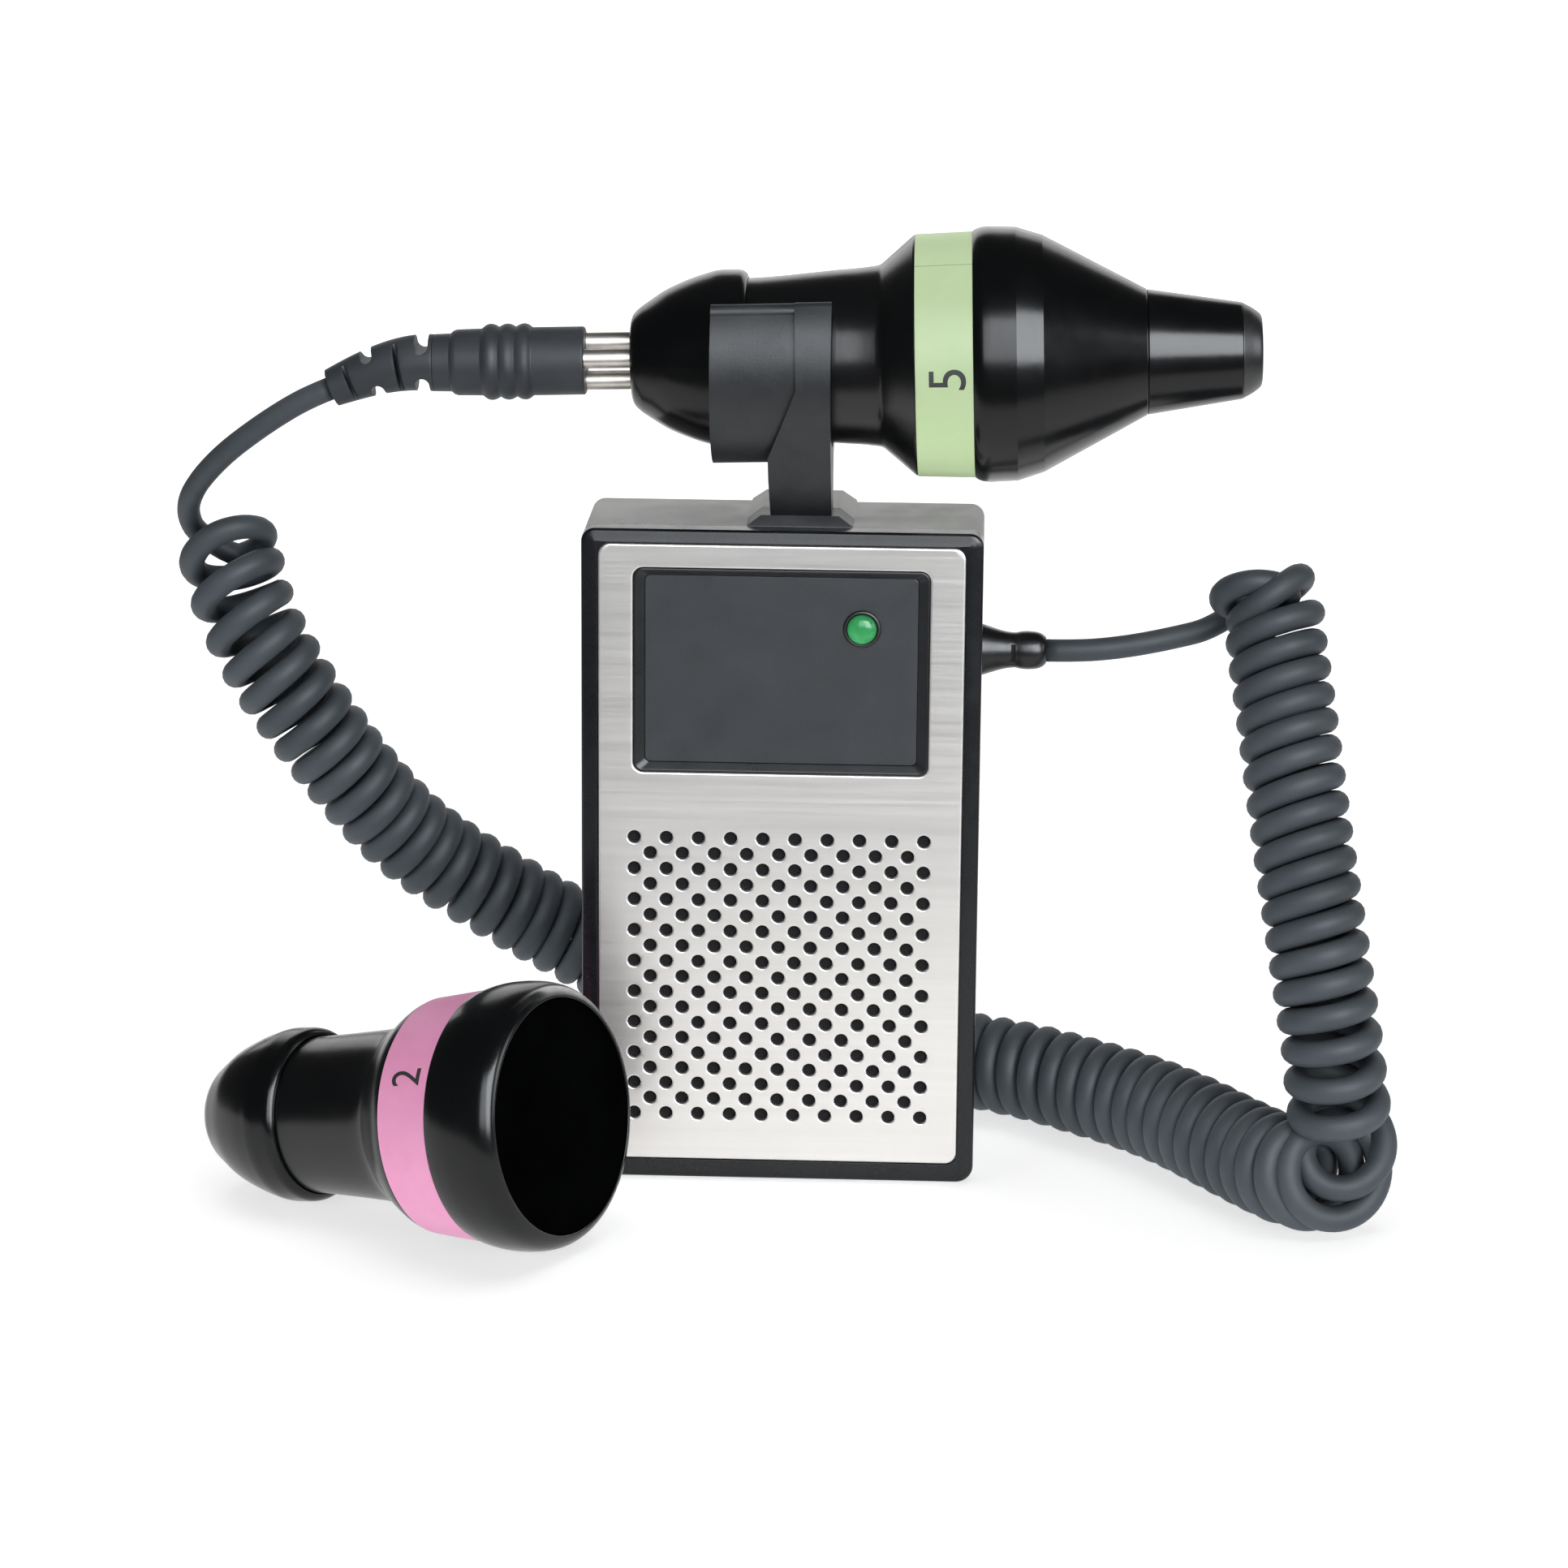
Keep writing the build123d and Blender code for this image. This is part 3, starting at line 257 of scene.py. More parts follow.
def outline_of(start, segs, soft):
    """Closed outline in (u, r) from straight and smooth stretches, its corners eased."""
    pts, p = [(start, True)], start
    for kind, q in segs:
        if kind == "l":
            pts.append((q, True))
            p = q
        else:
            ctl = [p] + list(q)
            a0 = (2 * ctl[0][0] - ctl[1][0], 2 * ctl[0][1] - ctl[1][1])
            a1 = (2 * ctl[-1][0] - ctl[-2][0], 2 * ctl[-1][1] - ctl[-2][1])
            ctl = [a0] + ctl + [a1]
            for i in range(1, len(ctl) - 2):
                new = bend_points(ctl[i - 1], ctl[i], ctl[i + 1], ctl[i + 2], 3)
                pts += [(v, False) for v in new[:-1]] + [(new[-1], i == len(ctl) - 3)]
            p = q[-1]
    if math.dist(pts[-1][0], pts[0][0]) < 1e-6:
        pts.pop()
    out, n = [], len(pts)
    for i in range(n):
        (u, r), corner = pts[i]
        pu, pr = pts[i - 1][0]
        nu, nr = pts[(i + 1) % n][0]
        la, lb = math.hypot(pu - u, pr - r), math.hypot(nu - u, nr - r)
        if corner and r > 1e-6 and la > 1e-6 and lb > 1e-6:
            ax, ay, bx, by = (pu - u) / la, (pr - r) / la, (nu - u) / lb, (nr - r) / lb
            turn_by = math.degrees(math.acos(max(-1, min(1, -(ax * bx + ay * by)))))
            if turn_by > 16:
                d = min(soft, 0.42 * la, 0.42 * lb)
                k = 2 if turn_by < 45 else 3
                for j in range(k + 1):
                    t = j / k
                    out.append(((1 - t) ** 2 * (u + ax * d) + 2 * t * (1 - t) * u + t * t * (u + bx * d),
                                (1 - t) ** 2 * (r + ay * d) + 2 * t * (1 - t) * r + t * t * (r + by * d)))
                continue
        out.append((u, max(r, 0.0)))
    return out


def lathe(name, place, start, segs, soft=0.25, count=144, sharp=38.0):
    """Solid of revolution about its own X, placed; millimetres in, metres out."""
    line = outline_of(start, segs, soft)
    bm = bmesh.new()
    rows = []
    for u, r in line:
        if r < 1e-5:
            rows.append([bm.verts.new(place @ Vector((u * MM, 0, 0)))])
        else:
            rows.append([bm.verts.new(place @ Vector((u * MM, r * MM * math.cos(2 * math.pi * i / count), r * MM * math.sin(2 * math.pi * i / count))))
                         for i in range(count)])
    m = len(rows)
    for k in range(m):
        a, b = rows[k], rows[(k + 1) % m]
        if len(a) == 1 and len(b) == 1:
            continue
        for i in range(count):
            j = (i + 1) % count
            if len(a) == 1:
                bm.faces.new((a[0], b[j], b[i]))
            elif len(b) == 1:
                bm.faces.new((a[i], a[j], b[0]))
            else:
                bm.faces.new((a[i], a[j], b[j], b[i]))
    return from_bmesh(name, bm, sharp)


def rect_loop(x0, x1, z0, z1, r_top, r_bot, y, n=8):
    """A rounded rectangle seen from the front, as a ring of points at depth y."""
    pts = []
    for cx, cz, r, a0 in ((x1 - r_bot, z0 + r_bot, r_bot, -90), (x1 - r_top, z1 - r_top, r_top, 0),
                          (x0 + r_top, z1 - r_top, r_top, 90), (x0 + r_bot, z0 + r_bot, r_bot, 180)):
        for i in range(n + 1):
            a = math.radians(a0 + 90.0 * i / n)
            pts.append(Vector(((cx + r * math.cos(a)) * MM, y * MM, (cz + r * math.sin(a)) * MM)))
    return pts


def inset_loop(rect, inset, y, n=8):
    x0, x1, z0, z1, rt, rb = rect
    return rect_loop(x0 + inset, x1 - inset, z0 + inset, z1 - inset, max(rt - inset, 0.15), max(rb - inset, 0.15), y, n)


def hoops(name, loops, closed=True, sharp=38.0):
    """A skin over rings of equal count; closed joins the last ring to the first,
    otherwise both ends are capped."""
    bm = bmesh.new()
    rows = [[bm.verts.new(p) for p in lp] for lp in loops]
    m = len(rows)
    n = len(rows[0])
    for k in range(m if closed else m - 1):
        a, b = rows[k], rows[(k + 1) % m]
        for i in range(n):
            j = (i + 1) % n
            bm.faces.new((a[i], a[j], b[j], b[i]))
    if not closed:
        bm.faces.new(rows[0])
        bm.faces.new(rows[-1])
    return from_bmesh(name, bm, sharp)


def twin(node, name, width=0.25, segments=2, angle=32.0, clean=True):
    """A copy of a CAD node's mesh, tidied and with eased edges, that stands for it."""
    src = NODES[node].data
    bm = bmesh.new()
    bm.from_mesh(src)
    bmesh.ops.remove_doubles(bm, verts=bm.verts, dist=2e-6)
    bmesh.ops.dissolve_degenerate(bm, dist=1e-6, edges=bm.edges)
    if clean:
        bmesh.ops.dissolve_limit(bm, angle_limit=math.radians(1.2), use_dissolve_boundaries=False, verts=bm.verts, edges=bm.edges)
    ob = from_bmesh(name, bm, 38.0, False)
    b = ob.modifiers.new("edges", "BEVEL")
    b.width = width * MM
    b.segments = segments
    b.limit_method = "ANGLE"
    b.angle_limit = math.radians(angle)
    b.harden_normals = False
    b.use_clamp_overlap = True
    b.miter_outer = "MITER_ARC"
    w = ob.modifiers.new("normals", "WEIGHTED_NORMAL")
    w.mode = "FACE_AREA"
    w.weight = 60
    w.keep_sharp = False
    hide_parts(node)
    return ob


def Rx(d):
    return Matrix.Rotation(math.radians(d), 4, "X")


def Ry(d):
    return Matrix.Rotation(math.radians(d), 4, "Y")


def Rz(d):
    return Matrix.Rotation(math.radians(d), 4, "Z")


def T(x, y, z):
    return Matrix.Translation((x * MM, y * MM, z * MM))


PROBE = T(0, -7.5, 174.07) @ Ry(-1.741)
tilt = math.radians(9.613)
Z_FACE = 27.03 * math.cos(tilt) + 12.01 * math.sin(tilt) + 0.015
SPARE = T(-41.1, -62.94, Z_FACE) @ Rz(-27.86) @ Ry(-9.613) @ T(-53.2, 0, 0)


# --------------------------------------------------------------- materials
class Nodes:
    """Small helper round one material's node tree."""

    def __init__(self, name):
        self.m = bpy.data.materials.new(name)
        self.m.use_nodes = True
        self.t = self.m.node_tree
        self.p = self.t.nodes["Principled BSDF"]
        self.co = self.t.nodes.new("ShaderNodeTexCoord").outputs["Object"]

    def link(self, a, b):
        self.t.links.new(a, b)

    def noise(self, scale, detail=3.0, rough=0.55, stretch=None):
        co = self.co
        if stretch:
            mp = self.t.nodes.new("ShaderNodeMapping")
            mp.inputs["Scale"].default_value = stretch
            self.link(self.co, mp.inputs["Vector"])
            co = mp.outputs["Vector"]
        n = self.t.nodes.new("ShaderNodeTexNoise")
        n.inputs["Scale"].default_value = scale
        n.inputs["Detail"].default_value = detail
        n.inputs["Roughness"].default_value = rough
        self.link(co, n.inputs["Vector"])
        return n.outputs["Fac"]

    def ramp(self, fac, stops):
        r = self.t.nodes.new("ShaderNodeValToRGB")
        e = r.color_ramp.elements
        while len(e) < len(stops):
            e.new(0.5)
        for el, (pos, col) in zip(e, stops):
            el.position = pos
            el.color = tuple(col) + (1.0,)
        self.link(fac, r.inputs["Fac"])
        return r.outputs["Color"]

    def span(self, fac, a0, a1, b0, b1):
        m = self.t.nodes.new("ShaderNodeMapRange")
        for k, v in (("From Min", a0), ("From Max", a1), ("To Min", b0), ("To Max", b1)):
            m.inputs[k].default_value = v
        self.link(fac, m.inputs["Value"])
        return m.outputs["Result"]

    def math(self, op, a, b):
        m = self.t.nodes.new("ShaderNodeMath")
        m.operation = op
        for i, v in enumerate((a, b)):
            if isinstance(v, (int, float)):
                m.inputs[i].default_value = v
            else:
                self.link(v, m.inputs[i])
        return m.outputs[0]

    def mix(self, fac, a, b):
        m = self.t.nodes.new("ShaderNodeMix")
        m.data_type = "RGBA"
        if isinstance(fac, (int, float)):
            m.inputs["Factor"].default_value = fac
        else:
            self.link(fac, m.inputs["Factor"])
        for k, v in (("A", a), ("B", b)):
            s = [i for i in m.inputs if i.name == k and i.type == "RGBA"][0]
            if isinstance(v, tuple):
                s.default_value = v + (1.0,)
            else:
                self.link(v, s)
        return [o for o in m.outputs if o.type == "RGBA"][0]

    def bump(self, height, strength, distance, under=None):
        b = self.t.nodes.new("ShaderNodeBump")
        b.inputs["Strength"].default_value = strength
        b.inputs["Distance"].default_value = distance
        self.link(height, b.inputs["Height"])
        if under is not None:
            self.link(under, b.inputs["Normal"])
        return b.outputs["Normal"]

    def set(self, **kw):
        names = {"rough": "Roughness", "metal": "Metallic", "spec": "Specular IOR Level", "coat": "Coat Weight", "coat_rough": "Coat Roughness",
                 "sheen": "Sheen Weight", "sheen_rough": "Sheen Roughness", "ior": "IOR", "trans": "Transmission Weight", "emit": "Emission Strength",
                 "aniso": "Anisotropic", "sss": "Subsurface Weight", "diff_rough": "Diffuse Roughness"}
        for k, v in kw.items():
            self.p.inputs[names[k]].default_value = v
        return self


def moulded(name, dark, light, rough=(0.36, 0.5), grain=2600.0, grain_h=0.18, patch=45.0, scuff=0.0, **kw):
    """Moulded plastic: fine spark-eroded grain, soft patches of tone, uneven gloss."""
    s = Nodes(name)
    cloud = s.noise(patch, 4.0, 0.6)
    col = s.ramp(cloud, [(0.32, dark), (0.68, light)])
    if scuff:
        streak = s.noise(160.0, 5.0, 0.7, (1.0, 1.0, 7.0))
        col = s.mix(s.span(streak, 0.62, 0.78, 0.0, scuff), col, tuple(min(1.0, v * 2.4 + 0.03) for v in light))
    s.link(col, s.p.inputs["Base Color"])
    fine = s.noise(grain, 2.0, 0.5)
    mid_n = s.noise(140.0, 4.0, 0.6)
    s.link(s.span(s.math("ADD", s.math("MULTIPLY", mid_n, 0.75), s.math("MULTIPLY", fine, 0.25)), 0.35, 0.65, rough[0], rough[1]), s.p.inputs["Roughness"])
    s.link(s.bump(fine, grain_h, 0.00006, s.bump(mid_n, 0.12, 0.0003)), s.p.inputs["Normal"])
    s.set(**kw)
    return s.m


def brushed(name, dark, light, rough=(0.3, 0.42), stretch=(14.0, 900.0, 900.0), metal=1.0, **kw):
    """Rolled and brushed metal: long fine lines along one way, faint clouds."""
    s = Nodes(name)
    lines = s.noise(1.0, 6.0, 0.7, stretch)
    fine = s.noise(3.1, 3.0, 0.6, stretch)
    cloud = s.noise(26.0, 3.0, 0.5)
    f = s.math("ADD", s.math("MULTIPLY", lines, 0.6), s.math("MULTIPLY", cloud, 0.4))
    s.link(s.ramp(f, [(0.34, dark), (0.66, light)]), s.p.inputs["Base Color"])
    s.link(s.span(s.math("ADD", s.math("MULTIPLY", fine, 0.5), s.math("MULTIPLY", lines, 0.5)), 0.35, 0.65, rough[0], rough[1]), s.p.inputs["Roughness"])
    s.link(s.bump(fine, 0.10, 0.00005, s.bump(lines, 0.10, 0.00008)), s.p.inputs["Normal"])
    s.set(metal=metal, **kw)
    return s.m


M_BEZEL = moulded("black_satin", (0.005, 0.006, 0.008), (0.010, 0.011, 0.014), (0.24, 0.31), spec=0.36)
M_SHELL = moulded("grey_satin", (0.27, 0.268, 0.262), (0.335, 0.332, 0.325), (0.40, 0.52), 1900.0, 0.25, 70.0, metal=0.35)
M_PLATE = brushed("plate_metal", (0.735, 0.712, 0.685), (0.795, 0.774, 0.750), (0.31, 0.37), (9.0, 600.0, 600.0), metal=0.85)
M_CLOTH = Nodes("grille_weave")
M_PANEL = moulded("label_grey", (0.026, 0.031, 0.036), (0.035, 0.040, 0.046), (0.44, 0.56), 1500.0, 0.3, 60.0, spec=0.4)
M_TRAY = moulded("tray_black", (0.012, 0.013, 0.016), (0.020, 0.021, 0.025), (0.26, 0.34), spec=0.34)
M_HOLDER = moulded("holder_black", (0.008, 0.009, 0.010), (0.015, 0.016, 0.018), (0.3, 0.45))
M_GLAND = moulded("gland_gloss", (0.006, 0.006, 0.007), (0.012, 0.012, 0.014), (0.26, 0.34), 1200.0, 0.05, spec=0.42)
M_STEEL = brushed("steel", (0.48, 0.47, 0.45), (0.62, 0.61, 0.59), (0.22, 0.34), (300.0, 300.0, 300.0))
M_CLIP = moulded("clip_grey", (0.015, 0.017, 0.020), (0.027, 0.030, 0.034), (0.36, 0.50), 2100.0, 0.35, 55.0, scuff=0.12, spec=0.44)
M_PROBE = moulded("probe_black", (0.0020, 0.0024, 0.0028), (0.0042, 0.0048, 0.0055), (0.18, 0.24), 2600.0, 0.05, 40.0, spec=0.34)
M_GRIP = moulded("grip_black", (0.0022, 0.0026, 0.0030), (0.0046, 0.0052, 0.0060), (0.21, 0.27), 2600.0, 0.06, 40.0, spec=0.5)
M_TIP = moulded("tip_black", (0.010, 0.011, 0.012), (0.018, 0.019, 0.021), (0.30, 0.4), 1600.0, 0.12, 60.0, spec=0.62)
M_FACE = moulded("face_black", (0.0010, 0.0011, 0.0013), (0.0022, 0.0024, 0.0027), (0.55, 0.66), 1600.0, 0.1, 60.0, spec=0.0)
M_GREEN = moulded("band_green", (0.66, 0.865, 0.475), (0.71, 0.905, 0.525), (0.42, 0.52), 1500.0, 0.08, 90.0, spec=0.4)
M_PINK = moulded("band_pink", (0.885, 0.345, 0.585), (0.925, 0.39, 0.64), (0.40, 0.5), 1500.0, 0.08, 90.0, spec=0.4)
M_INK = moulded("ink", (0.018, 0.020, 0.020), (0.035, 0.038, 0.036), (0.5, 0.62), 2000.0, 0.2, 160.0)
M_BRASS = brushed("brass", (0.62, 0.46, 0.19), (0.74, 0.56, 0.25), (0.24, 0.36), (200.0, 200.0, 200.0))
M_PIN = moulded("pin_steel", (0.62, 0.575, 0.53), (0.74, 0.70, 0.65), (0.34, 0.42), 900.0, 0.04, 300.0, metal=1.0)
M_CERAMIC = moulded("ceramic", (0.62, 0.58, 0.50), (0.72, 0.68, 0.60), (0.5, 0.62))
M_RESIN = moulded("resin", (0.10, 0.085, 0.07), (0.15, 0.125, 0.10), (0.45, 0.6))
M_BOARD = moulded("board_green", (0.008, 0.075, 0.035), (0.014, 0.105, 0.05), (0.3, 0.42), 900.0, 0.2, 120.0)
M_PARTS = moulded("component_black", (0.012, 0.012, 0.013), (0.03, 0.03, 0.032), (0.4, 0.55))
M_BATT = moulded("battery_case", (0.03, 0.035, 0.045), (0.06, 0.065, 0.08), (0.25, 0.4))
M_CONE = moulded("cone_paper", (0.020, 0.019, 0.018), (0.040, 0.038, 0.035), (0.75, 0.9), 700.0, 0.7, 160.0)
M_PLUG = moulded("plug_grey", (0.031, 0.036, 0.042), (0.045, 0.051, 0.059), (0.46, 0.58), 1700.0, 0.2, 60.0, spec=0.32)
M_CORD = moulded("cord_grey", (0.060, 0.072, 0.084), (0.086, 0.101, 0.117), (0.50, 0.62), 1500.0, 0.22, 38.0, spec=0.22)

s = M_CLOTH
warp = s.t.nodes.new("ShaderNodeTexWave")
warp.bands_direction = "X"
warp.inputs["Scale"].default_value = 900.0
weft = s.t.nodes.new("ShaderNodeTexWave")
weft.bands_direction = "Z"
weft.inputs["Scale"].default_value = 900.0
s.link(s.co, warp.inputs["Vector"])
s.link(s.co, weft.inputs["Vector"])
knit = s.math("MULTIPLY", warp.outputs["Fac"], weft.outputs["Fac"])
s.link(s.ramp(knit, [(0.2, (0.004, 0.004, 0.005)), (0.9, (0.03, 0.03, 0.034))]), s.p.inputs["Base Color"])
s.link(s.bump(knit, 0.6, 0.0002), s.p.inputs["Normal"])
s.set(rough=0.9, spec=0.2)
M_CLOTH = s.m

s = Nodes("lamp_green")
s.link(s.ramp(s.noise(380.0, 3.0, 0.6), [(0.3, (0.035, 0.30, 0.09)), (0.7, (0.06, 0.44, 0.14))]), s.p.inputs["Base Color"])
s.link(s.span(s.noise(500.0), 0.4, 0.6, 0.14, 0.20), s.p.inputs["Roughness"])
s.link(s.bump(s.noise(900.0), 0.05, 0.00004), s.p.inputs["Normal"])
s.set(spec=0.35, sss=0.0)
s.p.inputs["Emission Color"].default_value = (0.05, 0.45, 0.14, 1.0)
s.set(emit=0.22)
M_LAMP = s.m


def wear(ob, material, body=None):
    ob.data.materials.clear()
    ob.data.materials.append(material)
    if body:
        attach(ob, body)
    return ob


def dress(node, material):
    """Give a kept CAD node its material."""
    ob = NODES[node]
    if not ob.material_slots:
        ob.data.materials.append(material)
    for sl in ob.material_slots:
        sl.link = "OBJECT"
        sl.material = material


# ---------------------------------------------------------------- the case
CASE = (-41.25, 41.25, 0.0, 139.7, 2.8, 3.6)
PLATE = (-37.78, 37.78, 4.2, 136.8, 2.5, 2.5)
SEAT = (-37.83, 37.83, 4.15, 136.85, 2.55, 2.55)
WINDOW = (-30.45, 30.45, 88.6, 131.7, 2.0, 2.0)
PANEL = (-28.1, 28.1, 90.6, 130.1, 1.0, 1.0)

loops = [inset_loop(CASE, 2.4, -11.5), inset_loop(CASE, 0.35, -11.5), inset_loop(CASE, 0.1, -11.58), inset_loop(CASE, 0.0, -11.85),
         inset_loop(CASE, 0.0, -16.1)]
loops += [inset_loop(CASE, 0.9 - 0.9 * math.cos(math.radians(a)), -16.1 - 0.9 * math.sin(math.radians(a))) for a in (14, 28, 42, 56, 66)]
loops += [inset_loop(CASE, 1.15, -16.975), inset_loop(CASE, 1.7, -17.02), inset_loop(CASE, 2.4, -17.03), inset_loop(SEAT, -0.22, -17.0), inset_loop(SEAT, -0.06, -16.94), inset_loop(SEAT, 0.0, -16.8), inset_loop(SEAT, 0.0, -16.0),
          inset_loop(SEAT, 1.6, -16.0), inset_loop(SEAT, 1.6, -14.4), inset_loop(CASE, 2.4, -14.4)]
for lp, w in zip(loops[4:13], (1, 1, 1, 1, 1, 1, 0.89, 0.65, 0.35)):
    for v in lp:
        up = min(1.0, max(0.0, (v.z / MM - 134.2) / 3.0))
        dn = min(1.0, max(0.0, (5.2 - v.z / MM) / 3.4))
        v.y += (0.42 * up * up * (3 - 2 * up) + 0.34 * dn * dn * (3 - 2 * dn)) * MM * w
wear(hoops("case_front", loops), M_BEZEL, "case")
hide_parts("front_bezel")

wear(twin("rear_shell", "case_back", 0.22), M_SHELL, "case")

# face plate: sheet metal with rounded rims on its edge, window and sound holes
holes = []
for row in range(19):
    z = 74.55 - row * 3.342
    for j in (range(-9, 10, 2) if row % 2 == 0 else range(-8, 9, 2)):
        holes.append((-0.17 + j * 3.342, z))
HOLE_R, HOLE_N = 1.35, 20


def hole_ring(c, r, y):
    return [Vector(((c[0] + r * math.cos(2 * math.pi * i / HOLE_N)) * MM, y * MM, (c[1] + r * math.sin(2 * math.pi * i / HOLE_N)) * MM)) for i in range(HOLE_N)]


EDGE, RIM = 0.55, 0.34
steps = [(EDGE, -17.0), (EDGE * 0.62, -17.0 + EDGE * 0.08), (EDGE * 0.29, -17.0 + EDGE * 0.29), (EDGE * 0.08, -17.0 + EDGE * 0.62), (0.0, -17.0 + EDGE), (0.0, -16.0)]
rim_steps = [(RIM, -17.0), (RIM * 0.62, -17.0 + RIM * 0.08), (RIM * 0.29, -17.0 + RIM * 0.29), (RIM * 0.08, -17.0 + RIM * 0.62), (0.0, -17.0 + RIM), (0.0, -16.0)]
bm = bmesh.new()
sets = []
sets.append([inset_loop(PLATE, e, y) for e, y in steps])
sets.append([inset_loop(WINDOW, -e, y) for e, y in steps])
for c in holes:
    sets.append([hole_ring(c, HOLE_R + e, y) for e, y in rim_steps])
rows_of = [[[bm.verts.new(p) for p in ring] for ring in st] for st in sets]
for k, st in enumerate(rows_of):
    for a, b in zip(st[:-1], st[1:]):
        n = len(a)
        for i in range(n):
            bm.faces.new((a[i], a[(i + 1) % n], b[(i + 1) % n], b[i]))
for level in (0, -1):
    flat2, edges2, owner, ring_id = [], [], [], []
    for number_of, st in enumerate(rows_of):
        base = len(flat2)
        n = len(st[level])
        flat2 += [Vector((v.co.x * 1000, v.co.z * 1000)) for v in st[level]]
        owner += st[level]
        ring_id += [number_of] * n
        edges2 += [(base + i, base + (i + 1) % n) for i in range(n)]
    v2, e2, f2, src, _, _ = delaunay_2d_cdt(flat2, edges2, [], 0, 1e-6)
    for f in f2:
        ids = {ring_id[src[i][0]] for i in f}
        if len(ids) == 1 and 0 not in ids:
            continue
        bm.faces.new([owner[src[i][0]] for i in f])
plate = from_bmesh("plate", bm, 50.0)
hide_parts("face_plate")
wear(plate, M_PLATE, "case")

dress("grille_cloth", M_CLOTH)

loops = [inset_loop(WINDOW, 0.05, -14.4), inset_loop(WINDOW, 0.05, -16.7), inset_loop(WINDOW, 0.10, -16.88), inset_loop(WINDOW, 0.28, -16.97), inset_loop(WINDOW, 0.45, -16.95),
         inset_loop(WINDOW, 0.62, -16.84), rect_loop(-28.35, 28.35, 90.35, 130.35, 1.2, 1.2, -16.12), rect_loop(-28.16, 28.16, 90.54, 130.16, 1.06, 1.06, -15.98),
         rect_loop(-28.1, 28.1, 90.6, 130.1, 1.0, 1.0, -15.4),
         rect_loop(-25.1, 25.1, 93.6, 127.1, 1.0, 1.0, -15.4), rect_loop(-25.1, 25.1, 93.6, 127.1, 1.0, 1.0, -14.4)]
tray = hoops("tray", loops)
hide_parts("label_tray")
wear(tray, M_TRAY, "case")

# label panel, its hole for the lamp and its edges eased
loops_o = [rect_loop(-28.07, 28.07, 90.63, 130.07, 1.0, 1.0, -15.4), rect_loop(-28.07, 28.07, 90.63, 130.07, 1.0, 1.0, -15.9), rect_loop(-27.97, 27.97, 90.73, 129.97, 0.9, 0.9, -16.0)]
LX, LZ = 16.55, 119.35
bm = bmesh.new()
ro = [[bm.verts.new(p) for p in lp] for lp in loops_o]
ri = [[bm.verts.new(Vector(((LX + r * math.cos(2 * math.pi * i / 48)) * MM, y * MM, (LZ + r * math.sin(2 * math.pi * i / 48)) * MM))) for i in range(48)]
      for r, y in ((3.9, -15.4), (3.9, -15.92), (3.98, -16.0))]
for st in (ro, ri):
    for a, b in zip(st[:-1], st[1:]):
        n = len(a)
        for i in range(n):
            bm.faces.new((a[i], a[(i + 1) % n], b[(i + 1) % n], b[i]))
for level in (0, -1):
    owner = ro[level] + ri[level]
    flat2 = [Vector((v.co.x * 1000, v.co.z * 1000)) for v in owner]
    n = len(ro[level])
    edges2 = [(i, (i + 1) % n) for i in range(n)] + [(n + i, n + (i + 1) % 48) for i in range(48)]
    v2, e2, f2, src, _, _ = delaunay_2d_cdt(flat2, edges2, [], 0, 1e-6)
    for f in f2:
        if all(src[i][0] >= n for i in f):
            continue
        bm.faces.new([owner[src[i][0]] for i in f])
panel = from_bmesh("label_plate", bm, 50.0)
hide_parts("label_panel")
wear(panel, M_PANEL, "case")

LAMP = T(LX, -14.4, LZ) @ Rz(-90)
ob = lathe("lamp_dome", LAMP, (-0.6, 0.0), [("l", (-0.6, 3.0)), ("l", (2.1, 3.0)), ("s", [(2.75, 2.82), (3.25, 2.30), (3.58, 1.45), (3.72, 0.6), (3.75, 0.0)])], 0.12, 64)
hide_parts("lamp_lens")
wear(ob, M_LAMP, "case")
ob = lathe("lamp_ring", LAMP, (1.0, 3.88), [("l", (1.75, 3.88)), ("l", (1.95, 3.62)), ("l", (1.95, 3.3)), ("l", (1.75, 3.03)), ("l", (1.0, 3.03))], 0.12, 64)
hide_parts("lamp_holder")
wear(ob, M_HOLDER, "case")

wear(twin("probe_clip", "clip", 0.5, 3), M_CLIP, "case")
wear(twin("cable_gland", "gland", 0.12), M_GLAND, "case")
wear(twin("battery_door", "door_panel", 0.2), M_SHELL, "door")
wear(twin("volume_wheel", "wheel_knob", 0.12), M_HOLDER, "wheel")
wear(twin("case_screws", "screws", 0.06), M_STEEL, "case")

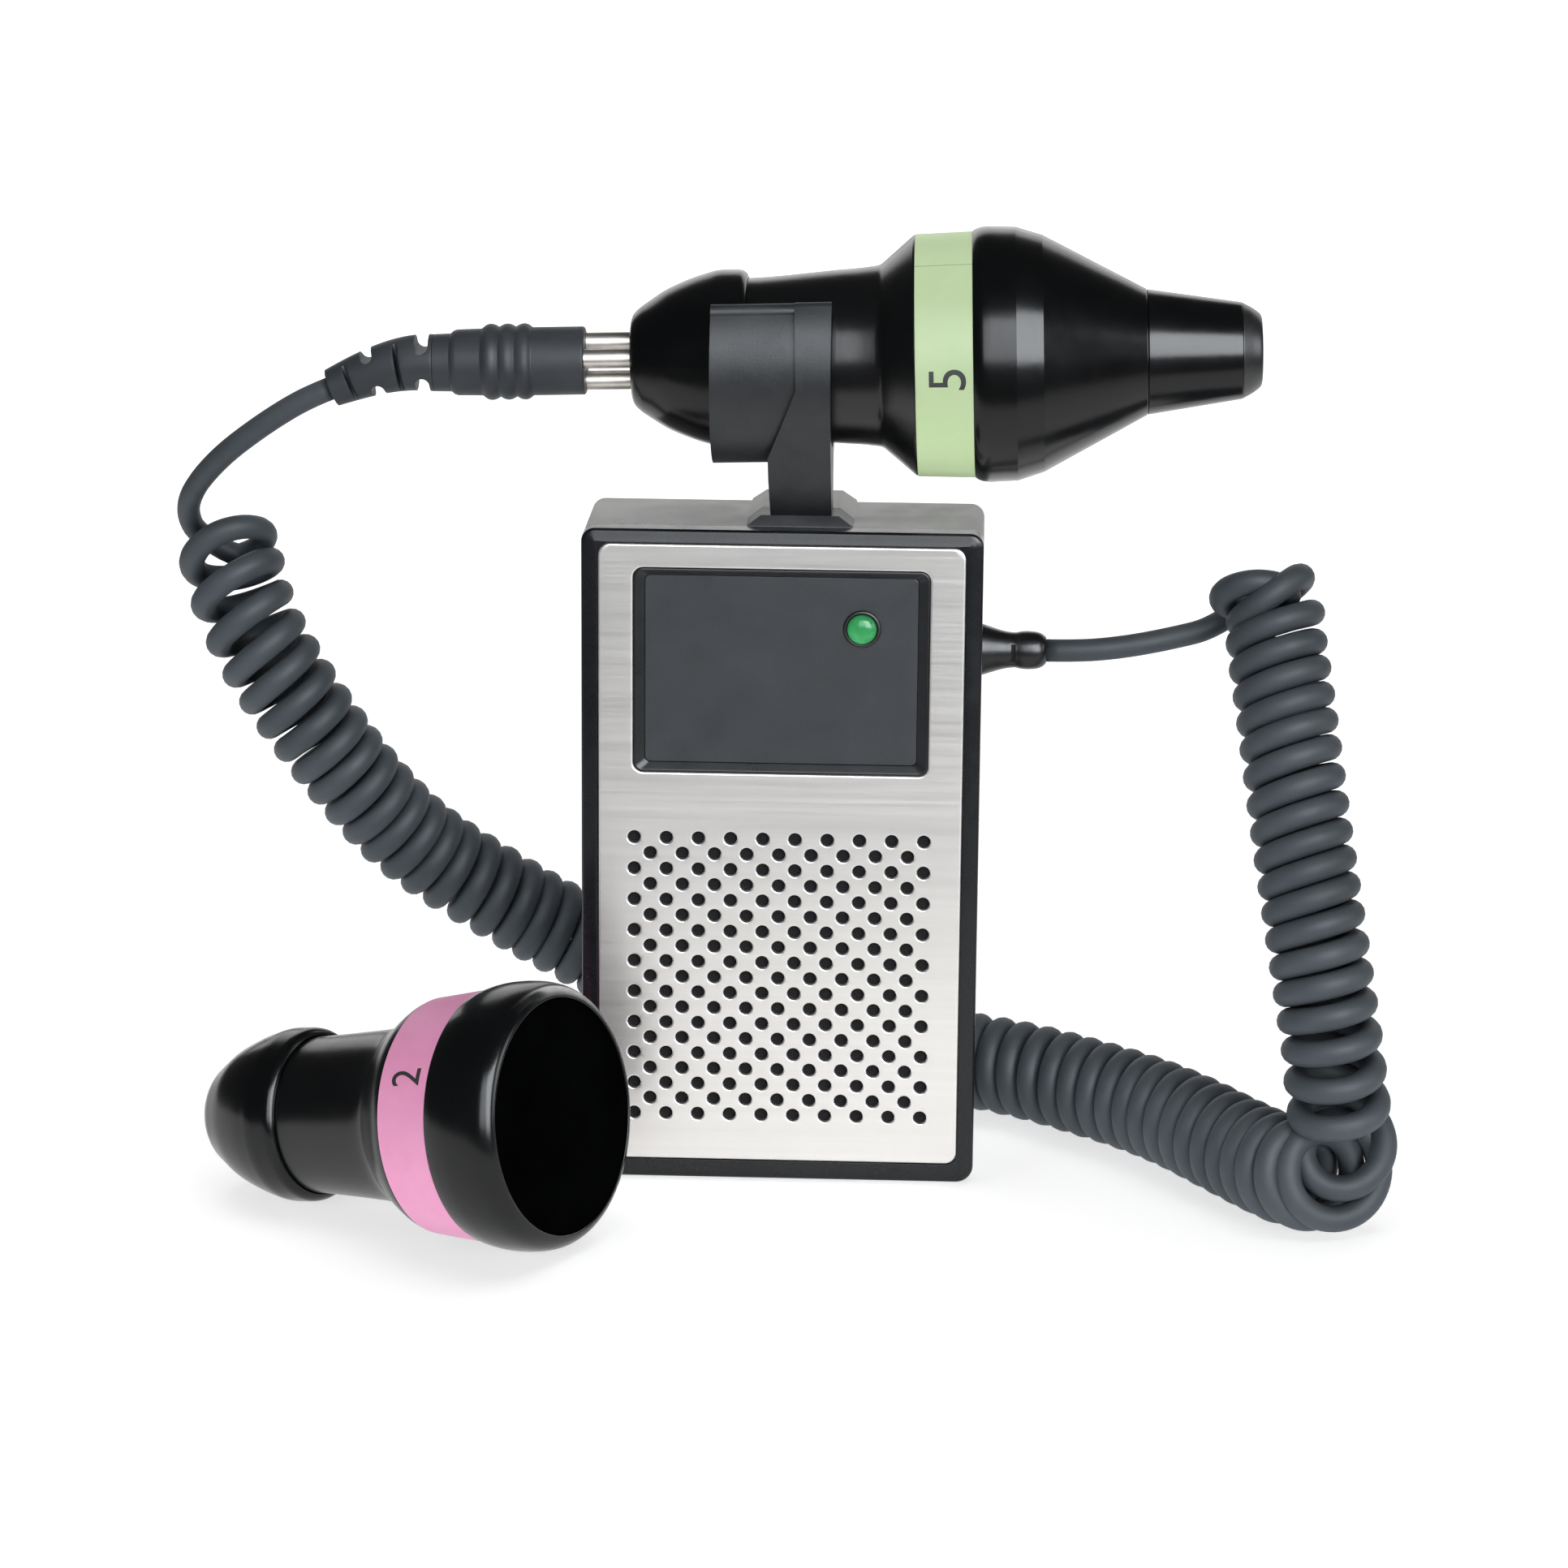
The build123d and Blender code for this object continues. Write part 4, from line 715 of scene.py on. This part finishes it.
# ------------------------------------------------------- the clipped probe
TAIL = ((-31.3, 7.0), [("l", (-31.3, 8.2)), ("s", [(-30.7, 9.5), (-29.3, 10.8)]),
                       ("s", [(-27.8, 11.8), (-24.5, 13.95), (-21.2, 15.5), (-17.9, 16.75), (-15.0, 17.6)]), ("s", [(-14.1, 17.85), (-13.2, 18.0), (-12.2, 18.07)]),
                       ("l", (-9.3, 18.05)), ("s", [(-8.4, 17.9), (-7.75, 17.5), (-7.35, 17.05), (-7.2, 16.6)]), ("l", (-7.2, 16.48)), ("l", (-9.25, 16.42)), ("l", (-9.3, 15.0)), ("l", (-13.6, 15.0)), ("l", (-24.5, 11.0)), ("l", (-24.5, 7.0))])
BARREL = ((-13.4, 13.4), [("l", (-13.4, 14.95)), ("l", (-9.3, 14.95)), ("l", (-9.3, 16.25)),
                          ("s", [(-4.6, 16.36), (2.0, 16.85), (10.4, 17.6), (15.3, 17.95), (18.7, 18.35)]), ("s", [(19.7, 18.6), (20.5, 19.2)]),
                          ("l", (26.5, 24.4)), ("l", (26.9, 24.5)), ("l", (26.9, 24.25)), ("l", (38.5, 24.65)),
                          ("l", (38.5, 21.5)), ("l", (28.0, 21.5)), ("l", (19.5, 15.4)), ("l", (-9.5, 13.4))])
HEAD = ((33.5, 19.6), [("l", (33.5, 21.45)), ("l", (38.5, 21.45)), ("l", (38.5, 25.05)), ("s", [(39.2, 25.5), (40.3, 25.85), (41.6, 25.98)]), ("l", (42.2, 25.98)),
                       ("l", (47.2, 25.78)), ("l", (52.6, 24.1)), ("l", (73.8, 12.75)), ("l", (73.8, 10.6)), ("l", (50.8, 22.2)), ("l", (42.0, 23.2)), ("l", (40.0, 19.6))])
for node, name, mat, slot_name, prof, soft in (
        ("probe_tail_cap", "tail_cap", M_PROBE, "probe_black", TAIL, 0.3),
        ("probe_barrel", "barrel", M_GRIP, "probe_black", BARREL, 0.25),
        ("probe_band", "band", M_GREEN, "band_green", ((26.9, 24.26), [("l", (26.9, 24.62)), ("l", (38.5, 25.02)), ("l", (38.5, 24.66))]), 0.1),
        ("probe_head_shell", "head_shell", M_PROBE, "probe_black", HEAD, 0.4),
        ("probe_nozzle", "nozzle", M_PROBE, "probe_black", ((73.8, 10.6), [("l", (73.8, 12.75)), ("l", (74.8, 12.6)), ("l", (92.9, 9.85)), ("l", (92.9, 8.2)), ("l", (74.8, 10.4))]), 0.18),
        ("probe_tip", "tip", M_TIP, "tip_black", ((91.4, 0.0), [("l", (91.4, 8.0)), ("l", (92.92, 8.0)), ("l", (92.92, 9.8)), ("s", [(93.9, 9.3), (95.0, 8.7), (96.2, 7.85)]),
                                                                ("s", [(96.75, 7.3), (97.0, 6.6)]), ("l", (97.05, 0.0))]), 0.2)):
    ob = lathe(name, PROBE, prof[0], prof[1], soft, sharp=9.0 if name == "head_shell" else 38.0)
    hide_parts(node)
    wear(ob, mat, "probe")

# --------------------------------------------------------------- the plug
ob = lathe("plug", PROBE, (-40.8, 0.0), [("l", (-40.8, 6.6)), ("l", (-41.15, 6.97)), ("l", (-51.6, 6.97)), ("s", [(-52.4, 7.6), (-53.3, 7.8), (-54.2, 7.6), (-55.0, 7.15)]),
                                         ("s", [(-55.8, 7.6), (-56.7, 7.8), (-57.6, 7.6), (-58.4, 7.15)]), ("s", [(-59.2, 7.6), (-60.1, 7.8), (-61.0, 7.6), (-61.8, 7.0)]),
                                         ("l", (-62.0, 6.85)), ("l", (-67.0, 6.75)), ("s", [(-67.8, 6.5), (-68.4, 5.95)]), ("l", (-72.0, 5.85)), ("l", (-72.0, 0.0))], 0.25)
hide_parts("plug_body")
plug = wear(ob, M_PLUG, "plug")
bm = bmesh.new()
for k, ang in enumerate((-44.0, 76.0, 196.0)):
    t = math.radians(ang)
    place = PROBE @ T(0, -4.5 * math.sin(t), 4.5 * math.cos(t))
    line = outline_of((-44.8, 0.0), [("l", (-44.8, 2.0)), ("l", (-26.6, 2.0)), ("s", [(-26.0, 1.85), (-25.5, 1.4), (-25.3, 0.7)]), ("l", (-25.3, 0.0))], 0.1)
    rows = []
    for u, r in line:
        if r < 1e-5:
            rows.append([bm.verts.new(place @ Vector((u * MM, 0, 0)))])
        else:
            rows.append([bm.verts.new(place @ Vector((u * MM, r * MM * math.cos(2 * math.pi * i / 40), r * MM * math.sin(2 * math.pi * i / 40)))) for i in range(40)])
    for a, b in zip(rows, rows[1:] + rows[:1]):
        if len(a) == 1 and len(b) == 1:
            continue
        for i in range(40):
            j = (i + 1) % 40
            if len(a) == 1:
                bm.faces.new((a[0], b[j], b[i]))
            elif len(b) == 1:
                bm.faces.new((a[i], a[j], b[0]))
            else:
                bm.faces.new((a[i], a[j], b[j], b[i]))
pins = from_bmesh("pins", bm)
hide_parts("plug_pins")
wear(pins, M_PIN, "plug")
relief = wear(twin("plug_strain_relief", "relief", 0.3, clean=False), M_PLUG, "plug")

# ---------------------------------------------------------- the spare probe
BARREL2 = ((-13.4, 13.4), [("l", (-13.4, 14.95)), ("l", (-9.3, 14.95)), ("l", (-9.3, 16.25)), ("s", [(-4.6, 16.36), (2.0, 16.85), (10.4, 17.6), (14.6, 18.2), (16.6, 19.0)]),
                           ("s", [(18.2, 20.2), (20.4, 21.9), (22.6, 23.35), (24.0, 23.98)]), ("l", (24.4, 24.02)), ("l", (24.4, 23.78)), ("l", (36.9, 25.4)), ("l", (36.9, 22.0)),
                           ("l", (26.0, 21.2)), ("l", (16.0, 15.4)), ("l", (-9.5, 13.4))])
HEAD2 = ((31.9, 19.6), [("l", (31.9, 21.45)), ("l", (36.9, 21.95)), ("l", (36.9, 25.85)), ("s", [(39.0, 26.55), (42.0, 27.15), (45.2, 27.35)]),
                        ("s", [(48.4, 27.2), (50.8, 26.6), (52.4, 25.5), (53.0, 24.4)]), ("l", (53.0, 23.95)), ("l", (50.4, 23.9)), ("l", (50.4, 22.6)), ("l", (37.0, 19.6))])
for node, name, mat, slot_name, prof, soft in (
        ("spare_tail_cap", "spare_cap", M_PROBE, "probe_black", TAIL, 0.3),
        ("spare_barrel", "spare_grip", M_GRIP, "probe_black", BARREL2, 0.25),
        ("spare_band", "spare_ring", M_PINK, "band_pink", ((24.4, 23.81), [("l", (24.4, 24.17)), ("l", (36.9, 25.8)), ("l", (36.9, 25.43))]), 0.1),
        ("spare_head_shell", "spare_head", M_PROBE, "probe_black", HEAD2, 0.25),
        ("spare_face", "spare_disc", M_FACE, "tip_black", ((50.4, 0.0), [("l", (50.4, 23.85)), ("l", (52.6, 23.88)), ("l", (52.6, 0.0))]), 0.35)):
    ob = lathe(name, SPARE, prof[0], prof[1], soft)
    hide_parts(node)
    wear(ob, mat, "spare")
    ob.visible_diffuse = name != "spare_ring"


# ------------------------------------------------------- digits on the bands
def digit(name, text, place, u_mid, ang_mid, tall, wide, radius, body):
    """A printed plain number, laid on a band and read from the probe's side."""
    cu = bpy.data.curves.new("glyph", "FONT")
    cu.body = text
    cu.resolution_u = 8
    tmp = bpy.data.objects.new("glyph", cu)
    SCENE.collection.objects.link(tmp)
    bpy.context.view_layer.update()
    me = bpy.data.meshes.new_from_object(tmp.evaluated_get(bpy.context.evaluated_depsgraph_get()))
    bm = bmesh.new()
    bm.from_mesh(me)
    bpy.data.objects.remove(tmp)
    bpy.data.curves.remove(cu)
    bpy.data.meshes.remove(me)
    bmesh.ops.remove_doubles(bm, verts=bm.verts, dist=1e-5)
    bmesh.ops.triangulate(bm, faces=bm.faces)
    for _ in range(2):
        bmesh.ops.subdivide_edges(bm, edges=bm.edges, cuts=1, use_grid_fill=True)
    xs = [v.co.x for v in bm.verts]
    ys = [v.co.y for v in bm.verts]
    x0, x1, y0, y1 = min(xs), max(xs), min(ys), max(ys)
    base = list(bm.verts)
    flat = {}
    for v in base:
        along_u = u_mid - ((v.co.y - y0) / (y1 - y0) - 0.5) * tall
        up_ang = ang_mid + math.degrees(((v.co.x - x0) / (x1 - x0) - 0.5) * wide / radius(u_mid))
        flat[v] = (along_u, math.radians(up_ang))

    def spot(v, lift):
        u, a = flat[v]
        r = radius(u) + lift
        return place @ Vector((u * MM, -r * MM * math.cos(a), r * MM * math.sin(a)))

    edge = [e for e in bm.edges if len(e.link_faces) == 1]
    faces = list(bm.faces)
    under = {v: bm.verts.new((0, 0, 0)) for v in base}
    for f in faces:
        bm.faces.new([under[v] for v in reversed(f.verts)])
    for e in edge:
        a, b = e.verts
        bm.faces.new((a, b, under[b], under[a]))
    for v in base:
        under[v].co = spot(v, -0.12)
    for v in base:
        v.co = spot(v, 0.045)
    ob = from_bmesh(name, bm, 30.0, False)
    return wear(ob, M_INK, body)


digit("digit_five", "5", PROBE, 33.35, -1.6, 7.4, 4.1, lambda u: 24.62 + (u - 26.9) * 0.4 / 11.6, "probe")
digit("digit_two", "2", SPARE, 31.2, 33.4, 7.3, 3.6, lambda u: 24.17 + (u - 24.4) * 1.63 / 12.5, "spare")


def seam(name, place, ang, u0, u1, radius, body, wide=0.14):
    """The hair line where a band's ends meet."""
    bm = bmesh.new()
    rows = []
    for i in range(13):
        u = u0 + (u1 - u0) * i / 12
        ring = []
        for da, lift in ((-wide / 2, 0.02), (wide / 2, 0.02), (wide / 2, -0.15), (-wide / 2, -0.15)):
            r = radius(u) + lift
            a = math.radians(ang) + da / r
            ring.append(bm.verts.new(place @ Vector((u * MM, -r * MM * math.cos(a), r * MM * math.sin(a)))))
        rows.append(ring)
    for a, b in zip(rows[:-1], rows[1:]):
        for i in range(4):
            bm.faces.new((a[i], a[(i + 1) % 4], b[(i + 1) % 4], b[i]))
    bm.faces.new(rows[0])
    bm.faces.new(rows[-1][::-1])
    return wear(from_bmesh(name, bm, 30.0, False), M_SEAM, body)


M_SEAM = moulded("seam_green", (0.30, 0.48, 0.15), (0.36, 0.55, 0.19), (0.5, 0.6))
seam("band_join", PROBE, 56.0, 27.0, 38.4, lambda u: 24.62 + (u - 26.9) * 0.4 / 11.6, "probe")

# ------------------------------------------------ pieces kept from the model
for node, mat in (("lamp_body", M_RESIN), ("speaker_frame", M_STEEL), ("speaker_cone", M_CONE), ("speaker_magnet", M_STEEL), ("circuit_board", M_BOARD),
                  ("board_parts", M_PARTS), ("battery", M_BATT), ("battery_snap", M_PARTS), ("volume_control", M_PARTS),
                  ("probe_socket_block", M_TIP), ("probe_contacts", M_BRASS), ("probe_board", M_BOARD), ("probe_backing", M_RESIN), ("probe_crystal", M_CERAMIC),
                  ("spare_socket_block", M_TIP), ("spare_contacts", M_BRASS), ("spare_board", M_BOARD), ("spare_backing", M_RESIN), ("spare_crystals", M_CERAMIC)):
    dress(node, mat)

# ------------------------------------------------------------ the lead, last
cord.data.materials.append(M_CORD)
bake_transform(cord)

# ------------------------------------------------------------ floor and light
fl = bpy.data.meshes.new("floor")
N = 24
fl_v = [((i / N - 0.5) * 30, (j / N - 0.5) * 30 + 6, 0.0) for j in range(N + 1) for i in range(N + 1)]
fl_f = [(j * (N + 1) + i, j * (N + 1) + i + 1, (j + 1) * (N + 1) + i + 1, (j + 1) * (N + 1) + i) for j in range(N) for i in range(N)]
fl.from_pydata(fl_v, [], fl_f)
floor = bpy.data.objects.new("floor", fl)
SCENE.collection.objects.link(floor)
s = Nodes("floor_white")
split = s.t.nodes.new("ShaderNodeSeparateXYZ")
s.link(s.co, split.inputs[0])
side = s.math("SUBTRACT", s.math("ABSOLUTE", split.outputs["X"], 0.0), s.math("MULTIPLY", s.math("MAXIMUM", split.outputs["Y"], 0.0), 0.35))
sheet = s.math("MULTIPLY", s.span(split.outputs["Y"], -0.28, -0.225, 0.0, 1.0), s.span(side, 0.30, 0.55, 1.0, 0.0))
far = s.span(split.outputs["Y"], 0.3, 1.6, 0.0, 1.0)
s.link(s.mix(sheet, (0.08, 0.08, 0.08), (0.64, 0.64, 0.64)), s.p.inputs["Base Color"])
glow = s.math("MULTIPLY", sheet, s.math("ADD", 0.64, s.math("MULTIPLY", far, 0.5)))
s.link(s.math("ADD", glow, 0.03), s.p.inputs["Emission Strength"])
s.link(s.ramp(s.noise(2.0), [(0.3, (0.995, 0.995, 0.995)), (0.7, (1.0, 1.0, 1.0))]), s.p.inputs["Emission Color"])
s.set(rough=0.9, spec=0.1)
fl.materials.append(s.m)

world = bpy.data.worlds.new("world")
SCENE.world = world
world.use_nodes = True
world.node_tree.nodes["Background"].inputs["Color"].default_value = (1.0, 1.0, 1.0, 1.0)
world.node_tree.nodes["Background"].inputs["Strength"].default_value = 0.05


def softbox(name, place, target, width, height, radiance, color=(1, 1, 1)):
    li = bpy.data.lights.new(name, "AREA")
    li.shape = "RECTANGLE"
    li.size, li.size_y = width, height
    li.energy = radiance * math.pi * width * height
    li.color = color
    ob = bpy.data.objects.new(name, li)
    SCENE.collection.objects.link(ob)
    ob.location = place
    ob.rotation_mode = "QUATERNION"
    ob.rotation_quaternion = (Vector(target) - Vector(place)).to_track_quat("-Z", "Y")
    ob.visible_camera = False
    return ob


COOL = (0.92, 0.96, 1.0)
softbox("over", (0.0, 0.15, 1.5), (0, 0, 0.08), 1.5, 1.1, 2.1).visible_glossy = False
softbox("over_sheen", (0.0, 0.15, 1.5), (0, 0, 0.08), 1.5, 1.1, 1.1, COOL).visible_diffuse = False
softbox("front_left", (-1.05, -0.95, 0.34), (0, 0, 0.1), 0.6, 0.6, 5.3).visible_glossy = False
softbox("front_right", (0.85, -1.2, 0.38), (0, 0, 0.1), 0.6, 0.6, 6.2).visible_glossy = False
softbox("back", (0.1, 1.7, 0.7), (0, 0, 0.12), 2.6, 0.9, 1.4)
softbox("key", (0.63, -1.03, 0.67), (0, 0, 0.15), 0.80, 1.00, 12.6, COOL).visible_diffuse = False
softbox("side", (1.25, -0.25, 0.42), (0, 0, 0.15), 0.5, 0.6, 5.0, COOL).visible_diffuse = False
softbox("key_edge", (0.0, -1.19, 0.67), (0, 0, 0.15), 0.60, 0.90, 5.4, COOL).visible_diffuse = False
